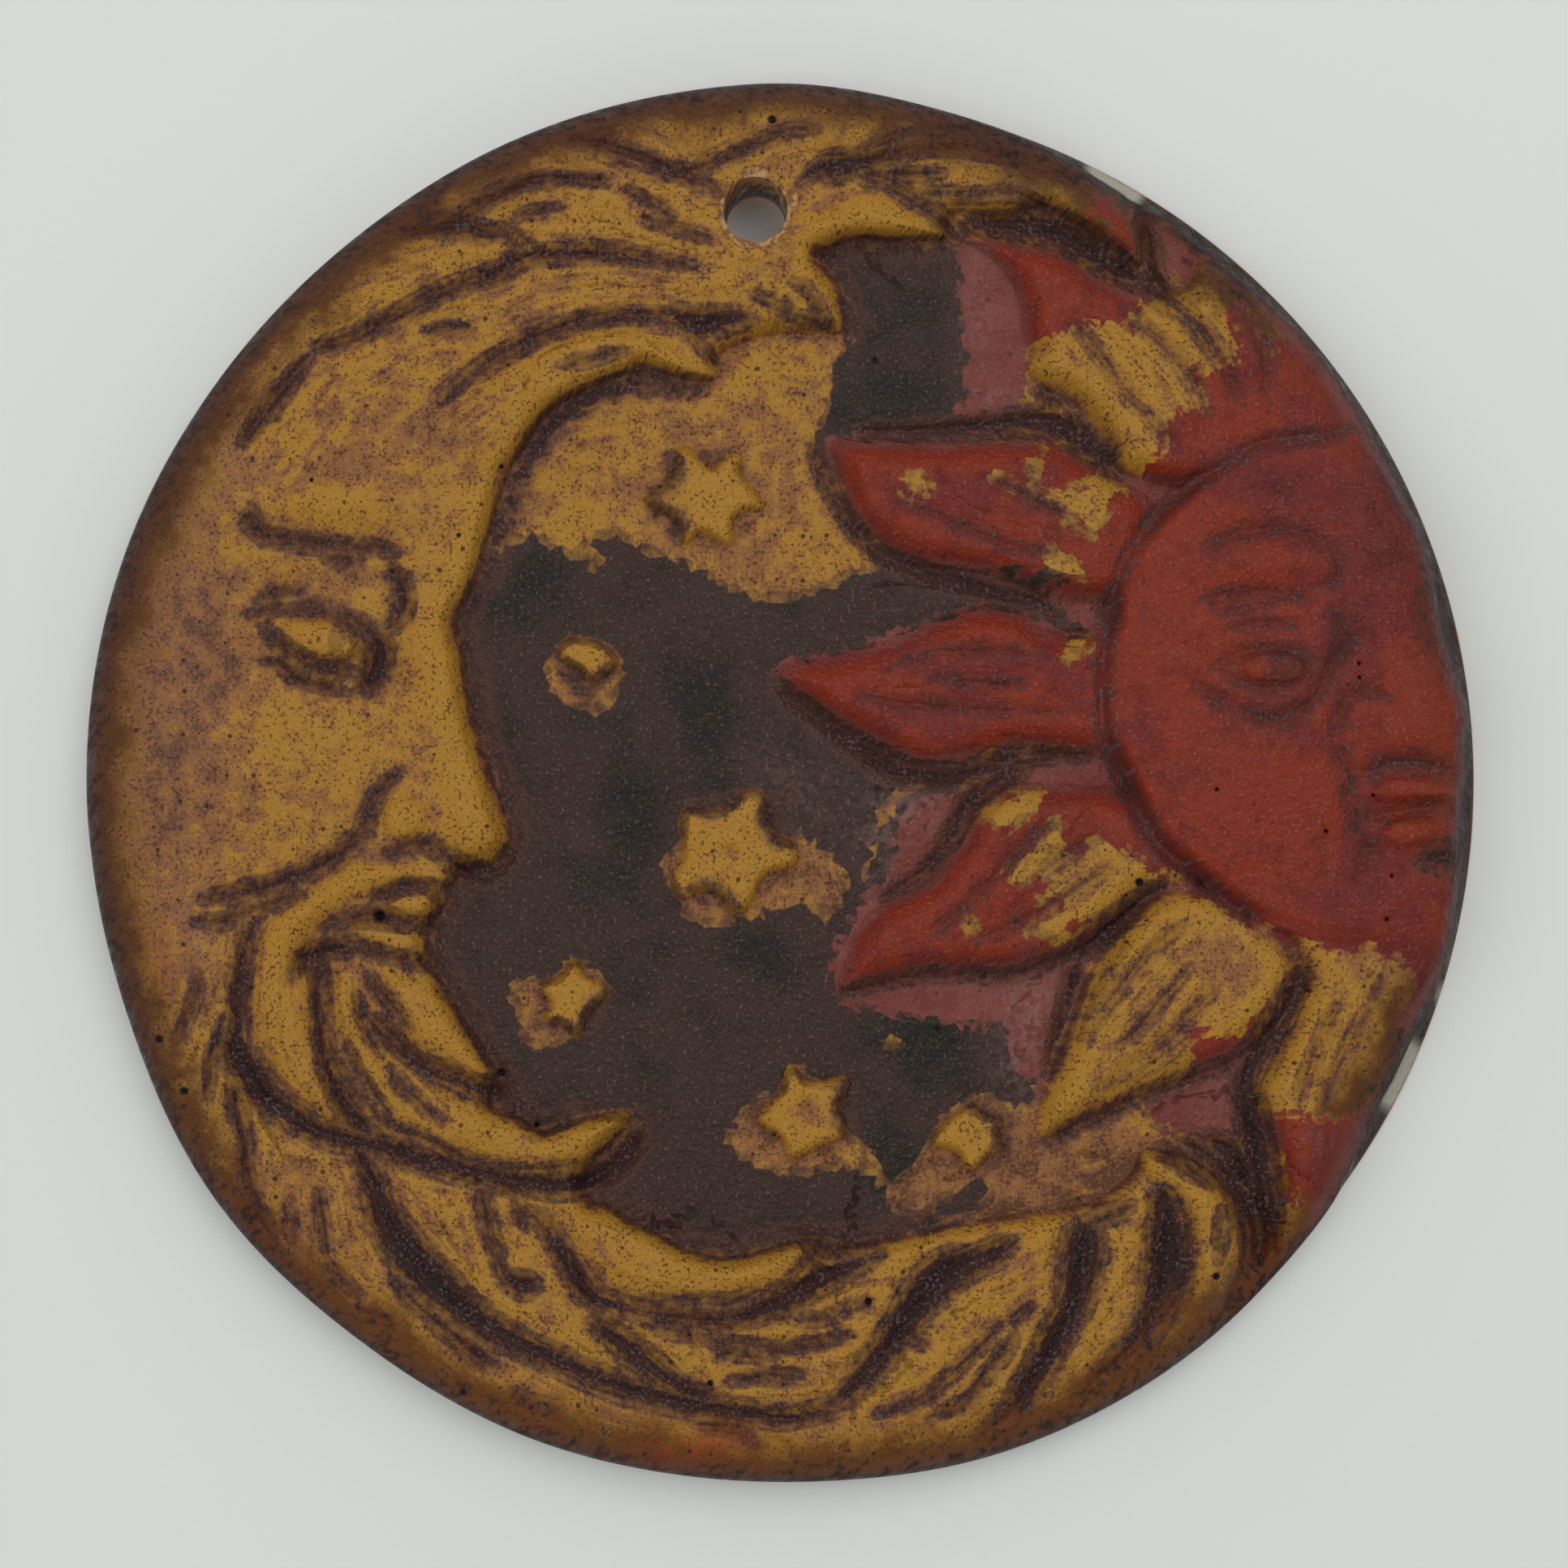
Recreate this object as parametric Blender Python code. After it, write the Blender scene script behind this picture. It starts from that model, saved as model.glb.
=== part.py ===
"""A round moulded clay wall plate that hangs from a nail: a bearded moon, a sun with flame rays, and stars.

Lengths are metres. The plate hangs upright: its flat back lies at Y = 0, its carved front faces -Y.
The carving is drawn in a plan, u to the right and v up from the middle, in hundredths of the radius.
"""

import math

import bmesh
import bpy
import numpy as np
from mathutils import Matrix

DIAMETER = 0.160
BACK_INSET = 0.0006  # how far the back's edge lies inside the widest part of the rim
EDGE_HEIGHT = 0.0045  # from the back up to where the front's rounded shoulder starts
SHOULDER = 0.0056  # how far in the shoulder reaches
BACK_ROUNDING = 0.0008
PLAN_REACH = 100.7  # hundredths from the middle to the rim where it is widest
VIEW = 0.335  # the plan is drawn as the front looks from this far before its highest ground

TOP_HEIGHT = 0.013  # heights are measured from the back
SKY_HEIGHT = 0.0080
HAIR_HEIGHT = 0.0112
LOCK_HEIGHT = 0.0124
RAY_HEIGHT = 0.0112
SUN_HEIGHT = 0.0116
STAR_RISE = 0.0017
MOON_FACE_DEPTH = 0.0020
SUN_FACE_DEPTH = 0.0018
GROOVE_DEPTH = 0.0024
GROOVE_SLOPE = 0.0011  # how deep a groove goes for each hundredth in from its edge
GROOVE_SAG = 0.0007  # how far the ground beside a groove sinks towards it
MOON_EDGE = 3.5  # how far in, in hundredths, each form's rounded edge reaches
LOCK_EDGE = 3.5
RAY_EDGE = 5
SUN_EDGE = 3
STAR_EDGE = 1.6

NAIL_HOLE_DIAMETER = 0.0074
NAIL_HOLE_BACK_DIAMETER = 0.0068
NAIL_HOLE_DROP = 0.0157  # from the top of the rim down to the hole's centre
NAIL_HOLE_ASIDE = -0.0035
HOLE_SIDES = 32
CUT_CLEARANCE = 0.004

GRID = 300
FRONT_TRIANGLES = 6600

RIM = [
    (-98.2, 0), (-93.2, 31), (-80, 56), (-60, 76.8), (-38.5, 90), (-14, 97), (2, 98), (20, 94.8),
    (36, 89.2), (44, 84.2), (49, 81), (52, 79.8), (64.5, 70), (74, 61), (82, 49), (87, 39), (88.5, 36.5),
    (91.4, 24.3), (92.7, 19.3), (94.3, 14.2), (95.7, 8), (95.2, 2), (94.5, -8), (94.2, -16), (91, -29),
    (88.3, -34), (82, -47), (79, -54.5), (68, -69.7), (60, -77.5), (48, -86), (28, -94.7), (6, -98),
    (-14, -97.3), (-36, -92), (-60, -78.2), (-80, -58.7), (-92, -34), (-97, -14),
]  # fmt: skip
# The moon with its hair and beard, as one mass: down the face, along the beard, then round outside the rim.
MOON = [
    (-36, 48), (-38.5, 44), (-41, 36), (-43.5, 28), (-46, 23), (-45, 18), (-43, 8), (-40.5, -1),
    (-38.5, -7), (-40, -10.5), (-44.5, -12), (-47, -15.5), (-49.3, -18), (-50, -23), (-48.5, -27),
    (-44.5, -34), (-40.7, -40), (-41, -45.5), (-34, -48.8), (-28, -46.8), (-23, -45.9), (-22.5, -48.2),
    (-26, -51.8), (-28, -56), (-24, -60), (-16, -64.2), (-7, -66.5), (0, -64.4), (10, -64.6), (21, -62.3),
    (32, -60), (42, -58), (50, -52), (56, -52.3), (60.5, -55.5), (64, -63), (63, -70.5), (66, -82),
    (30, -112), (-30, -112), (-84, -84), (-116, 0), (-84, 84), (-30, 112), (30, 112), (62, 88), (52, 72),
    (49.8, 72.5), (44, 75.8), (40, 78.8), (34, 80.2), (24, 79.7), (22.5, 76.3), (16, 76), (6, 75),
    (5.5, 72.5), (7.7, 69), (8.5, 63.5), (0, 62.5), (-8, 61), (-9.5, 57), (-13, 56.4), (-20, 58.2),
    (-25, 56.3), (-32, 53), (-34, 51),
]  # fmt: skip
SUN = [
    (79, 50), (68, 48), (57, 42.5), (48.5, 34), (45, 24), (44, 14), (45, 6), (50, -6.5), (60, -16),
    (72, -23), (88, -25), (102, -22), (108, 0), (106, 30), (98, 46), (88, 54),
]  # fmt: skip
# Each ray runs from its tip to a root under the sun; the last two end on the rim.
RAYS = [
    [(24.5, 76), (32, 76.2), (40, 74), (50, 68.8), (60, 72), (78, 76), (92, 56), (80, 47), (60, 42),
     (47, 43.5), (42, 51.5), (35.5, 54.5), (33.5, 58), (33, 64), (31, 71)],
    [(6.3, 47.5), (7.5, 42), (11, 35), (17, 31), (28, 29), (38, 26), (50, 28), (52, 38), (42, 45.5),
     (34, 48.7), (26, 48), (16, 48.2)],
    [(-1, 15.3), (1, 17.5), (8, 18.3), (16, 21), (24, 24), (30, 24.8), (38, 21.3), (50, 20), (50, 4),
     (41, 4), (33, 4.8), (22, 2.3), (15, 3.7), (9, 7), (3, 11)],
    [(7.5, -29.5), (7.8, -26), (10, -20), (16, -15.8), (21.5, -12), (24.5, -7), (28.5, -1.3), (37, 0),
     (50, -2), (58, -14), (46, -20), (38, -25), (29, -27), (17, -27.3)],
    [(36, -44), (39, -36), (41, -30), (45, -22.5), (50, -16), (64, -16), (72, -24), (71, -31), (67.5, -35),
     (59, -40.6), (50, -43.8), (41, -47.6), (36, -50)],
    [(65, -18), (88, -20), (104, -30), (98, -50), (78, -76), (69, -66), (68.5, -52), (65.5, -44),
     (68, -38.5), (71.5, -31)],
]  # fmt: skip
STARS = [
    [(-20, 39.7), (-16.3, 42.3), (-14.5, 47), (-11.5, 44), (-7, 46), (-6.5, 42.5), (-3.5, 39), (-7, 37.5),
     (-8, 33.5), (-11.3, 35.6), (-14, 33.5), (-15.8, 37.2)],
    [(-31.8, 18.5), (-28.5, 19.7), (-25.5, 19), (-24, 16.5), (-26, 14.5), (-28, 15.3), (-31, 17)],
    [(-14, -4.2), (-9.7, -4.3), (-4.2, -1), (-3.4, -6.3), (0.7, -9.8), (-3.8, -12.3), (-6.5, -17),
     (-10.5, -14.5), (-15.3, -14), (-13.5, -9)],
    [(-29.6, -25), (-28, -28.3), (-25.7, -29.3), (-28.2, -31.8), (-29.2, -35.4), (-31.5, -33.2),
     (-34.5, -33), (-33.5, -31), (-35, -28.5), (-32.3, -27.9)],
    [(1.2, -40), (3.6, -42.4), (8.5, -42), (6.7, -46.2), (8, -49), (4.2, -50.2), (1, -52), (-0.8, -48.6),
     (-3.8, -48), (-1.6, -44.6)],
    [(25, -45.2), (26.5, -47), (30, -47.6), (29, -50.2), (30, -51.7), (26.5, -51.8), (24, -53), (23, -51),
     (20.5, -49.8), (22.8, -47.6)],
]  # fmt: skip
# Locks that stand over the rest of the hair: the forelock, the chin's lock, two that sweep below the mouth,
# and the moustache.
LOCKS = [
    [(-48, 53), (-40, 59), (-32, 62.7), (-24, 64), (-18, 63), (-12, 58.6), (-9.5, 57), (-13, 56.4),
     (-20, 58.2), (-25, 56.3), (-32, 53), (-37, 47), (-44, 47)],
    [(-57, -26), (-51, -27.5), (-47.5, -31), (-44.5, -36), (-40.7, -41.3), (-47, -40.6), (-52, -37.8),
     (-57, -30)],
    [(-61.5, -26), (-59.5, -32), (-55, -38), (-50, -42), (-44, -44.5), (-34, -48.8), (-28, -46.8),
     (-21.8, -47), (-26, -51.8), (-31.5, -55), (-39, -55.3), (-50, -51.3), (-57, -47.5), (-61, -42),
     (-63.8, -32)],
    [(-31.5, -60.5), (-25.5, -58.7), (-19, -62.8), (-10, -66.2), (-2, -65.2), (2.7, -65), (0.2, -69.8),
     (-7.5, -73.2), (-14, -74.4), (-23, -71.8), (-29.5, -65.5)],
    [(-47, -12.6), (-52, -12), (-58, -10.6), (-64, -12.5), (-70, -16.7), (-74, -22), (-75.5, -30),
     (-74, -37.5), (-69, -44.3), (-61.5, -48.8), (-62.5, -44), (-65, -37), (-66, -28), (-67, -21.5),
     (-61, -17.2), (-55, -14.7)],
]  # fmt: skip
# A stroke is a row of (u, v, half width).
HAIR_GROOVES = [
    [(-77, 46.5, 0.8), (-71, 54.5, 1.2), (-67, 59.5, 0.7)],
    [(-66, 61, 0.8), (-54, 65.7, 1.2), (-45, 70, 1.2), (-35, 74.3, 1.2), (-21, 73.7, 1.1),
     (-13, 72.5, 0.4)],
    [(-53.5, 77.4, 0.5), (-46, 78.5, 1.7), (-38, 83.5, 0.9), (-28, 84.7, 0.6)],
    [(-46, 78, 1.4), (-39, 77.2, 0.9), (-35.5, 74.5, 0.9)],
    [(-48.5, 53.7, 0.8), (-38, 61, 1.0), (-28, 65, 0.9), (-18, 65.8, 1.3), (-12, 64.5, 2.2),
     (-5, 65.3, 0.6)],
    [(-30, 90, 0.7), (-20, 87.5, 1.2), (-10, 82.8, 0.9)],
    [(2, 84.3, 0.5), (7, 86.5, 2.0), (14, 86.5, 1.8), (24, 88.8, 0.9), (35, 87, 0.8), (41, 84.5, 0.4)],
    [(11, 86, 1.4), (19, 81.3, 1.0), (24, 76.5, 0.8)],
    [(49.5, 81, 1.0), (50.8, 74, 1.1), (54, 68, 0.9)],
]  # fmt: skip
BEARD_GROOVES = [
    [(-74.5, -19.5, 1.2), (-77, -31, 1.2), (-77, -38, 2.2), (-72.5, -44.5, 2.2), (-65, -49.2, 1.6),
     (-57, -51, 1.6), (-47, -54, 1.6), (-36, -56.2, 1.6), (-26, -55, 1.8), (-21, -49, 1.0)],
    [(-60.5, -51, 1.5), (-57, -59, 2), (-53, -66, 3.1), (-45.5, -73.5, 2.3), (-36, -79.3, 1.6),
     (-21, -85.3, 1.6), (-5, -88.6, 1.3), (4, -88.5, 1.1), (12.5, -81.5, 2.1), (17.5, -74.5, 2.6),
     (23, -68.5, 3), (32.5, -63.9, 0.5)],
    [(-36, -60, 0.8), (-31, -67, 1.3), (-26.5, -72.5, 1.5), (-15, -75.4, 1), (-5, -74.6, 1.3),
     (2, -71, 2.2), (8, -68.3, 1.5), (13.5, -65.9, 0.6)],
    [(-27.5, -75.5, 1), (-22, -79.5, 1.9), (-16, -84.3, 1.4), (-9, -87.3, 1.2)],
    [(-42.3, -57.5, 0.9), (-41, -64, 0.8), (-37.5, -70.8, 1.6)],
    [(41.8, -61.5, 2.2), (41, -70, 2.6), (37.6, -78, 2.4), (33.3, -86, 1.9), (27, -91.6, 0.7)],
    [(52, -57, 1.2), (53.5, -64, 3.1), (52.8, -72, 3), (48.3, -79.3, 1.6), (42.5, -84.8, 0.8)],
    [(-77.5, -42, 1.6), (-76, -50, 0.8), (-75.5, -57, 1), (-72, -64.5, 0.6)],
    [(30, -76.5, 0.4), (23.5, -83, 0.8), (14, -88.4, 0.5)],
    [(-65.5, -25, 0.9), (-65, -37, 1), (-62.5, -44, 1.4), (-58, -49.5, 1.6)],
]  # fmt: skip
RAY_GROOVES = [
    [(40.5, 64, 0.6), (46, 57, 0.8), (55, 47, 0.7)],
    [(47.5, 66.5, 0.6), (55, 59, 0.8), (59.3, 52, 0.7)],
    [(50, 69.5, 1.1), (58, 63.5, 1.0), (64.3, 53.3, 0.8)],
    [(61.5, 70, 0.8), (66.5, 61, 0.9), (67.5, 53.5, 0.7)],
    [(28, 42.7, 0.5), (40, 37.3, 0.6)],
    [(15, 16.2, 0.3), (23, 18.4, 0.7), (36, 17.6, 0.4)],
    [(14, 11.4, 0.3), (22, 10.6, 0.7), (38, 9.6, 0.4)],
    [(20.5, -21, 0.3), (28, -14.5, 0.7), (37, -5.5, 0.4)],
    [(27, -22, 0.3), (35, -18.3, 0.8), (45, -12.3, 0.3)],
    [(42.5, -36.3, 0.4), (48.5, -27, 0.8), (56, -19.8, 0.4)],
    [(44.7, -42.5, 0.5), (52, -37.2, 0.9), (60, -29.6, 0.5)],
    [(77.3, -31.3, 0.5), (74.3, -38, 0.9), (71.8, -44.5, 0.5)],
    [(81.3, -32, 0.5), (77.8, -39, 0.9), (74.8, -46, 0.6)],
    [(63, -43, 2.6), (64.5, -53, 4.2), (67, -63, 2.2), (66, -68, 1)],
    [(40.5, -26, 1.4), (38.3, -35, 1), (36.3, -42, 0.6)],
]  # fmt: skip
SUN_RING = [
    (79, 49.5, 1.2), (72, 48, 1.3), (63, 45.5, 1.2), (54, 39.5, 1), (47.3, 30.5, 1), (44.7, 18, 0.9),
    (45, 6, 0.9), (50.5, -6.5, 1.2), (58, -13.8, 1), (65, -19.2, 0.7),
]  # fmt: skip
MOON_GROOVES = [
    [(-76, 37.5, 0.8), (-70, 34.7, 0.9), (-60, 33.3, 0.9), (-54, 32.4, 0.8)],
    [(-56.3, 30.5, 0.8), (-53.7, 25, 1.2), (-57, 20.5, 1.6), (-57.5, 15, 1.8)],
    [(-74, 23, 0.6), (-68, 24.9, 0.8), (-61, 22.8, 0.8), (-57, 21, 0.9)],
    [(-71, 20, 0.5), (-67, 17, 0.7), (-60, 15.5, 0.6)],
    [(-54.5, 1.5, 0.8), (-58.5, -2, 1), (-60, -8, 1), (-66, -11.5, 1.8), (-75, -15.6, 1.9),
     (-83.5, -18.5, 0.6)],
    [(-54, -10, 0.8), (-49.5, -10.7, 1.4), (-42, -12.8, 1)],
    [(-63, -19.5, 1.2), (-57, -18.7, 1.2), (-49, -20.3, 0.9)],
    [(-61.5, -22.5, 1.3), (-55, -25, 1.1), (-49.5, -25.5, 1)],
]  # fmt: skip
SUN_GROOVES = [
    [(58.5, 33, 0.6), (67, 35.5, 1), (77, 31.5, 0.8), (76, 27.8, 0.5)],
    [(58.5, 25.5, 0.6), (64, 26.3, 1), (73, 25.8, 0.5)],
    [(60, 16.3, 0.5), (67, 18.8, 0.8), (74.2, 15, 0.5)],
    [(60, 15.9, 0.5), (66.5, 13.3, 0.6), (72, 13.5, 0.5)],
    [(57.5, 13.5, 0.6), (66, 9.3, 1.1), (75.8, 14.8, 0.9), (78.5, 19.5, 1), (76.5, 24, 0.5)],
    [(84.5, 11.5, 0.5), (79, 12, 0.9), (77, 7, 1), (79.3, 0.5, 1.2), (79.5, -4.5, 0.9), (82.8, -11.5, 0.4)],
    [(80, 1.2, 1), (86.5, 2.9, 1.4), (94, 1.5, 2)],
    [(80.5, -5.2, 0.8), (87, -4, 0.9), (94.3, -3.2, 0.9)],
    [(88.3, -11, 0.9), (91, -10.6, 1.8), (94.5, -10, 2.4)],
]  # fmt: skip
# Soft mounds and hollows of a face: (u, v), radii, turn in degrees, share of the face's depth.
MOON_SWELLS = [
    ((-74, 3), (14, 12), 0, 0.55),
    ((-60, 48), (20, 9), 20, 0.35),
    ((-64, 39.5), (12, 3.6), -3, 0.5),
    ((-66, 27), (11, 4), 0, -0.5),
    ((-65, 20), (6, 3.6), 0, 0.35),
    ((-57, 16), (3.5, 7), 0, -0.5),
    ((-48.5, 12), (4, 24), 12, 0.5),
    ((-43.5, -5), (6, 5), 0, 0.45),
    ((-54, -4.5), (4, 4), 0, 0.4),
    ((-53, -22), (5, 2), 0, 0.3),
]  # fmt: skip
SUN_SWELLS = [
    ((66, 10), (26, 30), 0, 0.55),
    ((68, 31), (9, 3), -3, 0.35),
    ((69, 16), (5, 2.6), 0, 0.4),
    ((84, 30), (4, 12), 12, 0.3),
    ((88.5, 9), (6, 6), 0, 0.6),
    ((87, -1), (7, 2), -3, 0.35),
    ((88, -7), (6, 2), 0, 0.35),
    ((84, -17), (8, 5), 0, 0.35),
]  # fmt: skip


def spline(points, closed=False, per_span=4):
    """A smooth path through the points; a half width in the third place is carried along."""
    rows = np.array(points, float)
    if closed:
        rows = np.vstack([rows[-1], rows, rows[0], rows[1]])
    else:
        rows = np.vstack([2 * rows[0] - rows[1], rows, 2 * rows[-1] - rows[-2]])
    t = np.linspace(0, 1, per_span, endpoint=False)[None, :, None]
    a, b, c, d = (rows[i : len(rows) - 3 + i, None] for i in range(4))
    spans = b + 0.5 * t * (c - a + t * (2 * a - 5 * b + 4 * c - d + t * (3 * (b - c) + d - a)))
    path = spans.reshape(-1, rows.shape[1])
    return path if closed else np.vstack([path, rows[-2]])


def to_segment(u, v, start, end):
    """How far along a segment each point is, from 0 to 1, and how far it is from it."""
    du, dv = end[0] - start[0], end[1] - start[1]
    t = np.clip(((u - start[0]) * du + (v - start[1]) * dv) / (du * du + dv * dv + 1e-9), 0, 1)
    return t, np.hypot(u - start[0] - du * t, v - start[1] - dv * t)


def near(u, v, path, margin):
    """Which points lie within a margin of the path's own box."""
    low, high = path[:, :2].min(0) - margin, path[:, :2].max(0) + margin
    return np.flatnonzero((u > low[0]) & (u < high[0]) & (v > low[1]) & (v < high[1]))


def inside_stroke(u, v, points, reach=7.0):
    """How far each point lies inside a stroke of changing width; negative outside it."""
    path = spline(points)
    at = near(u, v, path, path[:, 2].max() + reach)
    depth, best = np.full(u.shape, -reach), np.full(at.shape, -reach)
    for start, end in zip(path[:-1], path[1:]):
        t, gap = to_segment(u[at], v[at], start, end)
        best = np.maximum(best, start[2] + (end[2] - start[2]) * t - gap)
    depth[at] = best
    return depth


def inside_outline(u, v, points, reach=8.0):
    """How far each point lies inside a closed outline; negative outside it."""
    path = spline(points, closed=True)
    at = near(u, v, path, reach)
    x, y = u[at], v[at]
    gap, odd = np.full(at.shape, 1e3), np.zeros(at.shape, bool)
    for start, end in zip(path, np.roll(path, -1, 0)):
        gap = np.minimum(gap, to_segment(x, y, start, end)[1])
        if end[1] != start[1]:
            crosses = x < start[0] + (end[0] - start[0]) * (y - start[1]) / (end[1] - start[1])
            odd ^= ((start[1] > y) != (end[1] > y)) & crosses
    depth = np.full(u.shape, -reach)
    depth[at] = np.maximum(np.where(odd, gap, -gap), -reach)
    return depth


def raised(height, inside, top, edge):
    """The ground with a form on it, which rises to its top over an edge this many hundredths wide."""
    return height + (top - height) * np.sin(np.clip(inside / edge, 0, 1) * math.pi / 2)


def grooved(height, u, v, strokes, sag=GROOVE_SAG):
    """The ground with grooves cut in it; the wider a groove, the deeper, up to the full depth."""
    inside = np.max([inside_stroke(u, v, points) for points in strokes], axis=0)
    cut = GROOVE_DEPTH * np.tanh(GROOVE_SLOPE * np.maximum(inside, 0) / GROOVE_DEPTH)
    return height - cut - sag * np.exp(np.minimum(inside, 0) / 2)


def swollen(u, v, swells):
    """The soft mounds and hollows added together, as shares of a face's depth."""
    total = np.zeros(u.shape)
    for at, radii, turn, share in swells:
        c, s = math.cos(math.radians(turn)), math.sin(math.radians(turn))
        du, dv = u - at[0], v - at[1]
        total += share * np.exp(-(((du * c + dv * s) / radii[0]) ** 2) - ((dv * c - du * s) / radii[1]) ** 2)
    return total


def rim_radius(u, v):
    """The rim's distance from the middle, in hundredths, in the direction of each point."""
    corners = np.array(RIM, float)
    angles = np.arctan2(corners[:, 1], corners[:, 0])
    rows = np.stack([angles, np.hypot(*corners.T)], axis=1)[np.argsort(angles)]
    turn = np.array([2 * math.pi, 0])
    angle, radius = spline(np.vstack([rows - turn, rows, rows + turn]), per_span=8).T
    return np.interp(np.arctan2(v, u), angle, radius)


def carving(u, v):
    """The front's height over the back."""
    height = np.full(u.shape, SKY_HEIGHT)
    for star in STARS:
        height = raised(height, inside_outline(u, v, star), SKY_HEIGHT + STAR_RISE, STAR_EDGE)
    for ray in RAYS:
        height = raised(height, inside_outline(u, v, ray), RAY_HEIGHT, RAY_EDGE)
    height = grooved(height, u, v, RAY_GROOVES)
    moon = inside_outline(u, v, MOON)
    height = raised(height, moon, HAIR_HEIGHT, MOON_EDGE)
    for lock in LOCKS:
        height = raised(height, inside_outline(u, v, lock), LOCK_HEIGHT, LOCK_EDGE)
    height = grooved(height, u, v, HAIR_GROOVES + BEARD_GROOVES)
    face = MOON_FACE_DEPTH * swollen(u, v, MOON_SWELLS) * np.clip(moon / MOON_EDGE, 0, 1)
    height = grooved(height + face, u, v, MOON_GROOVES)
    sun = inside_outline(u, v, SUN)
    dome = SUN_HEIGHT + SUN_FACE_DEPTH * swollen(u, v, SUN_SWELLS)
    height = grooved(raised(height, sun, dome, SUN_EDGE), u, v, SUN_GROOVES + [SUN_RING])
    shoulder = (rim_radius(u, v) - np.hypot(u, v)) * DIAMETER / 2 / PLAN_REACH / SHOULDER
    round_over = np.sqrt(1 - (1 - np.clip(shoulder, 0, 1)) ** 2)
    return EDGE_HEIGHT + (height - EDGE_HEIGHT) * round_over


def front_sheet():
    """The carved front, an open sheet: a square grid drawn out to the rim, raised, and thinned where plain."""
    bm = bmesh.new()
    bmesh.ops.create_grid(bm, x_segments=GRID, y_segments=GRID, size=1)
    x, y = np.array([vert.co.xy for vert in bm.verts]).T
    u, v = x * np.sqrt(1 - y * y / 2), y * np.sqrt(1 - x * x / 2)
    reach = rim_radius(u, v)
    u, v = u * reach, v * reach
    height = carving(u, v)
    scale = DIAMETER / 2 / PLAN_REACH * (1 + (TOP_HEIGHT - height) / VIEW)
    for vert, place in zip(bm.verts, np.stack([u * scale, -height, v * scale], axis=1)):
        vert.co = place
    mesh = bpy.data.meshes.new("front")
    bm.to_mesh(mesh)
    bm.free()
    sheet = bpy.data.objects.new("front", mesh)
    bpy.context.scene.collection.objects.link(sheet)
    thin = sheet.modifiers.new("Thin", "DECIMATE")
    thin.ratio = FRONT_TRIANGLES / (2 * GRID * GRID)
    thinned = bpy.data.meshes.new_from_object(sheet.evaluated_get(bpy.context.evaluated_depsgraph_get()))
    bpy.data.objects.remove(sheet)
    return thinned


def plate_mesh():
    """The front sheet with a wall round it and a flat back."""
    mesh = front_sheet()
    bm = bmesh.new()
    bm.from_mesh(mesh)
    rim = [edge for edge in bm.edges if edge.is_boundary]
    for depth, radius in (
        (BACK_ROUNDING, DIAMETER / 2 - BACK_INSET),
        (0, DIAMETER / 2 - BACK_INSET - BACK_ROUNDING),
    ):
        made = bmesh.ops.extrude_edge_only(bm, edges=rim)["geom"]
        rim = [item for item in made if isinstance(item, bmesh.types.BMEdge)]
        for vert in (item for item in made if isinstance(item, bmesh.types.BMVert)):
            across = radius / math.hypot(vert.co.x, vert.co.z)
            vert.co = (vert.co.x * across, -depth, vert.co.z * across)
    bmesh.ops.contextual_create(bm, geom=rim)
    bmesh.ops.triangulate(bm, faces=[face for face in bm.faces if len(face.verts) > 3])
    bmesh.ops.recalc_face_normals(bm, faces=bm.faces)
    bm.to_mesh(mesh)
    bm.free()
    return mesh


def nail_cutter():
    """A slightly tapered plug where the nail goes, wider at the front."""
    bm = bmesh.new()
    length = TOP_HEIGHT + 2 * CUT_CLEARANCE
    taper = (NAIL_HOLE_DIAMETER - NAIL_HOLE_BACK_DIAMETER) / 2 / TOP_HEIGHT * CUT_CLEARANCE
    bmesh.ops.create_cone(
        bm,
        cap_ends=True,
        segments=HOLE_SIDES,
        radius1=NAIL_HOLE_BACK_DIAMETER / 2 - taper,
        radius2=NAIL_HOLE_DIAMETER / 2 + taper,
        depth=length,
        matrix=Matrix.Translation((0, -TOP_HEIGHT / 2, 0)) @ Matrix.Rotation(math.radians(90), 4, "X"),
    )
    mesh = bpy.data.meshes.new("nail_cutter")
    bm.to_mesh(mesh)
    bm.free()
    return mesh


def clay():
    """Fired clay with a brown and ochre wash."""
    material = bpy.data.materials.new("washed clay")
    material.use_nodes = True
    shader = material.node_tree.nodes["Principled BSDF"]
    shader.inputs["Base Color"].default_value = (0.376, 0.171, 0.032, 1)
    shader.inputs["Roughness"].default_value = 0.45
    shader.inputs["Metallic"].default_value = 0.0
    return material


def collection(name):
    """A collection in the scene."""
    made = bpy.data.collections.new(name)
    bpy.context.scene.collection.children.link(made)
    return made


for old in list(bpy.data.objects):
    bpy.data.objects.remove(old)

plate = bpy.data.objects.new("wall_plate", plate_mesh())
plate.data.materials.append(clay())
plate.data.shade_smooth()
plate.data.set_sharp_from_angle(angle=math.radians(50))
collection("sun and moon wall plate").objects.link(plate)

cutter = bpy.data.objects.new("nail_cutter", nail_cutter())
cutter.location = (NAIL_HOLE_ASIDE, 0, DIAMETER / 2 - NAIL_HOLE_DROP)
cutter.hide_render = True
cutter.display_type = "WIRE"
collection("cutters").objects.link(cutter)
hole = plate.modifiers.new("Nail hole", "BOOLEAN")
hole.object = cutter
hole.operation = "DIFFERENCE"
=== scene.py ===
import math

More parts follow.
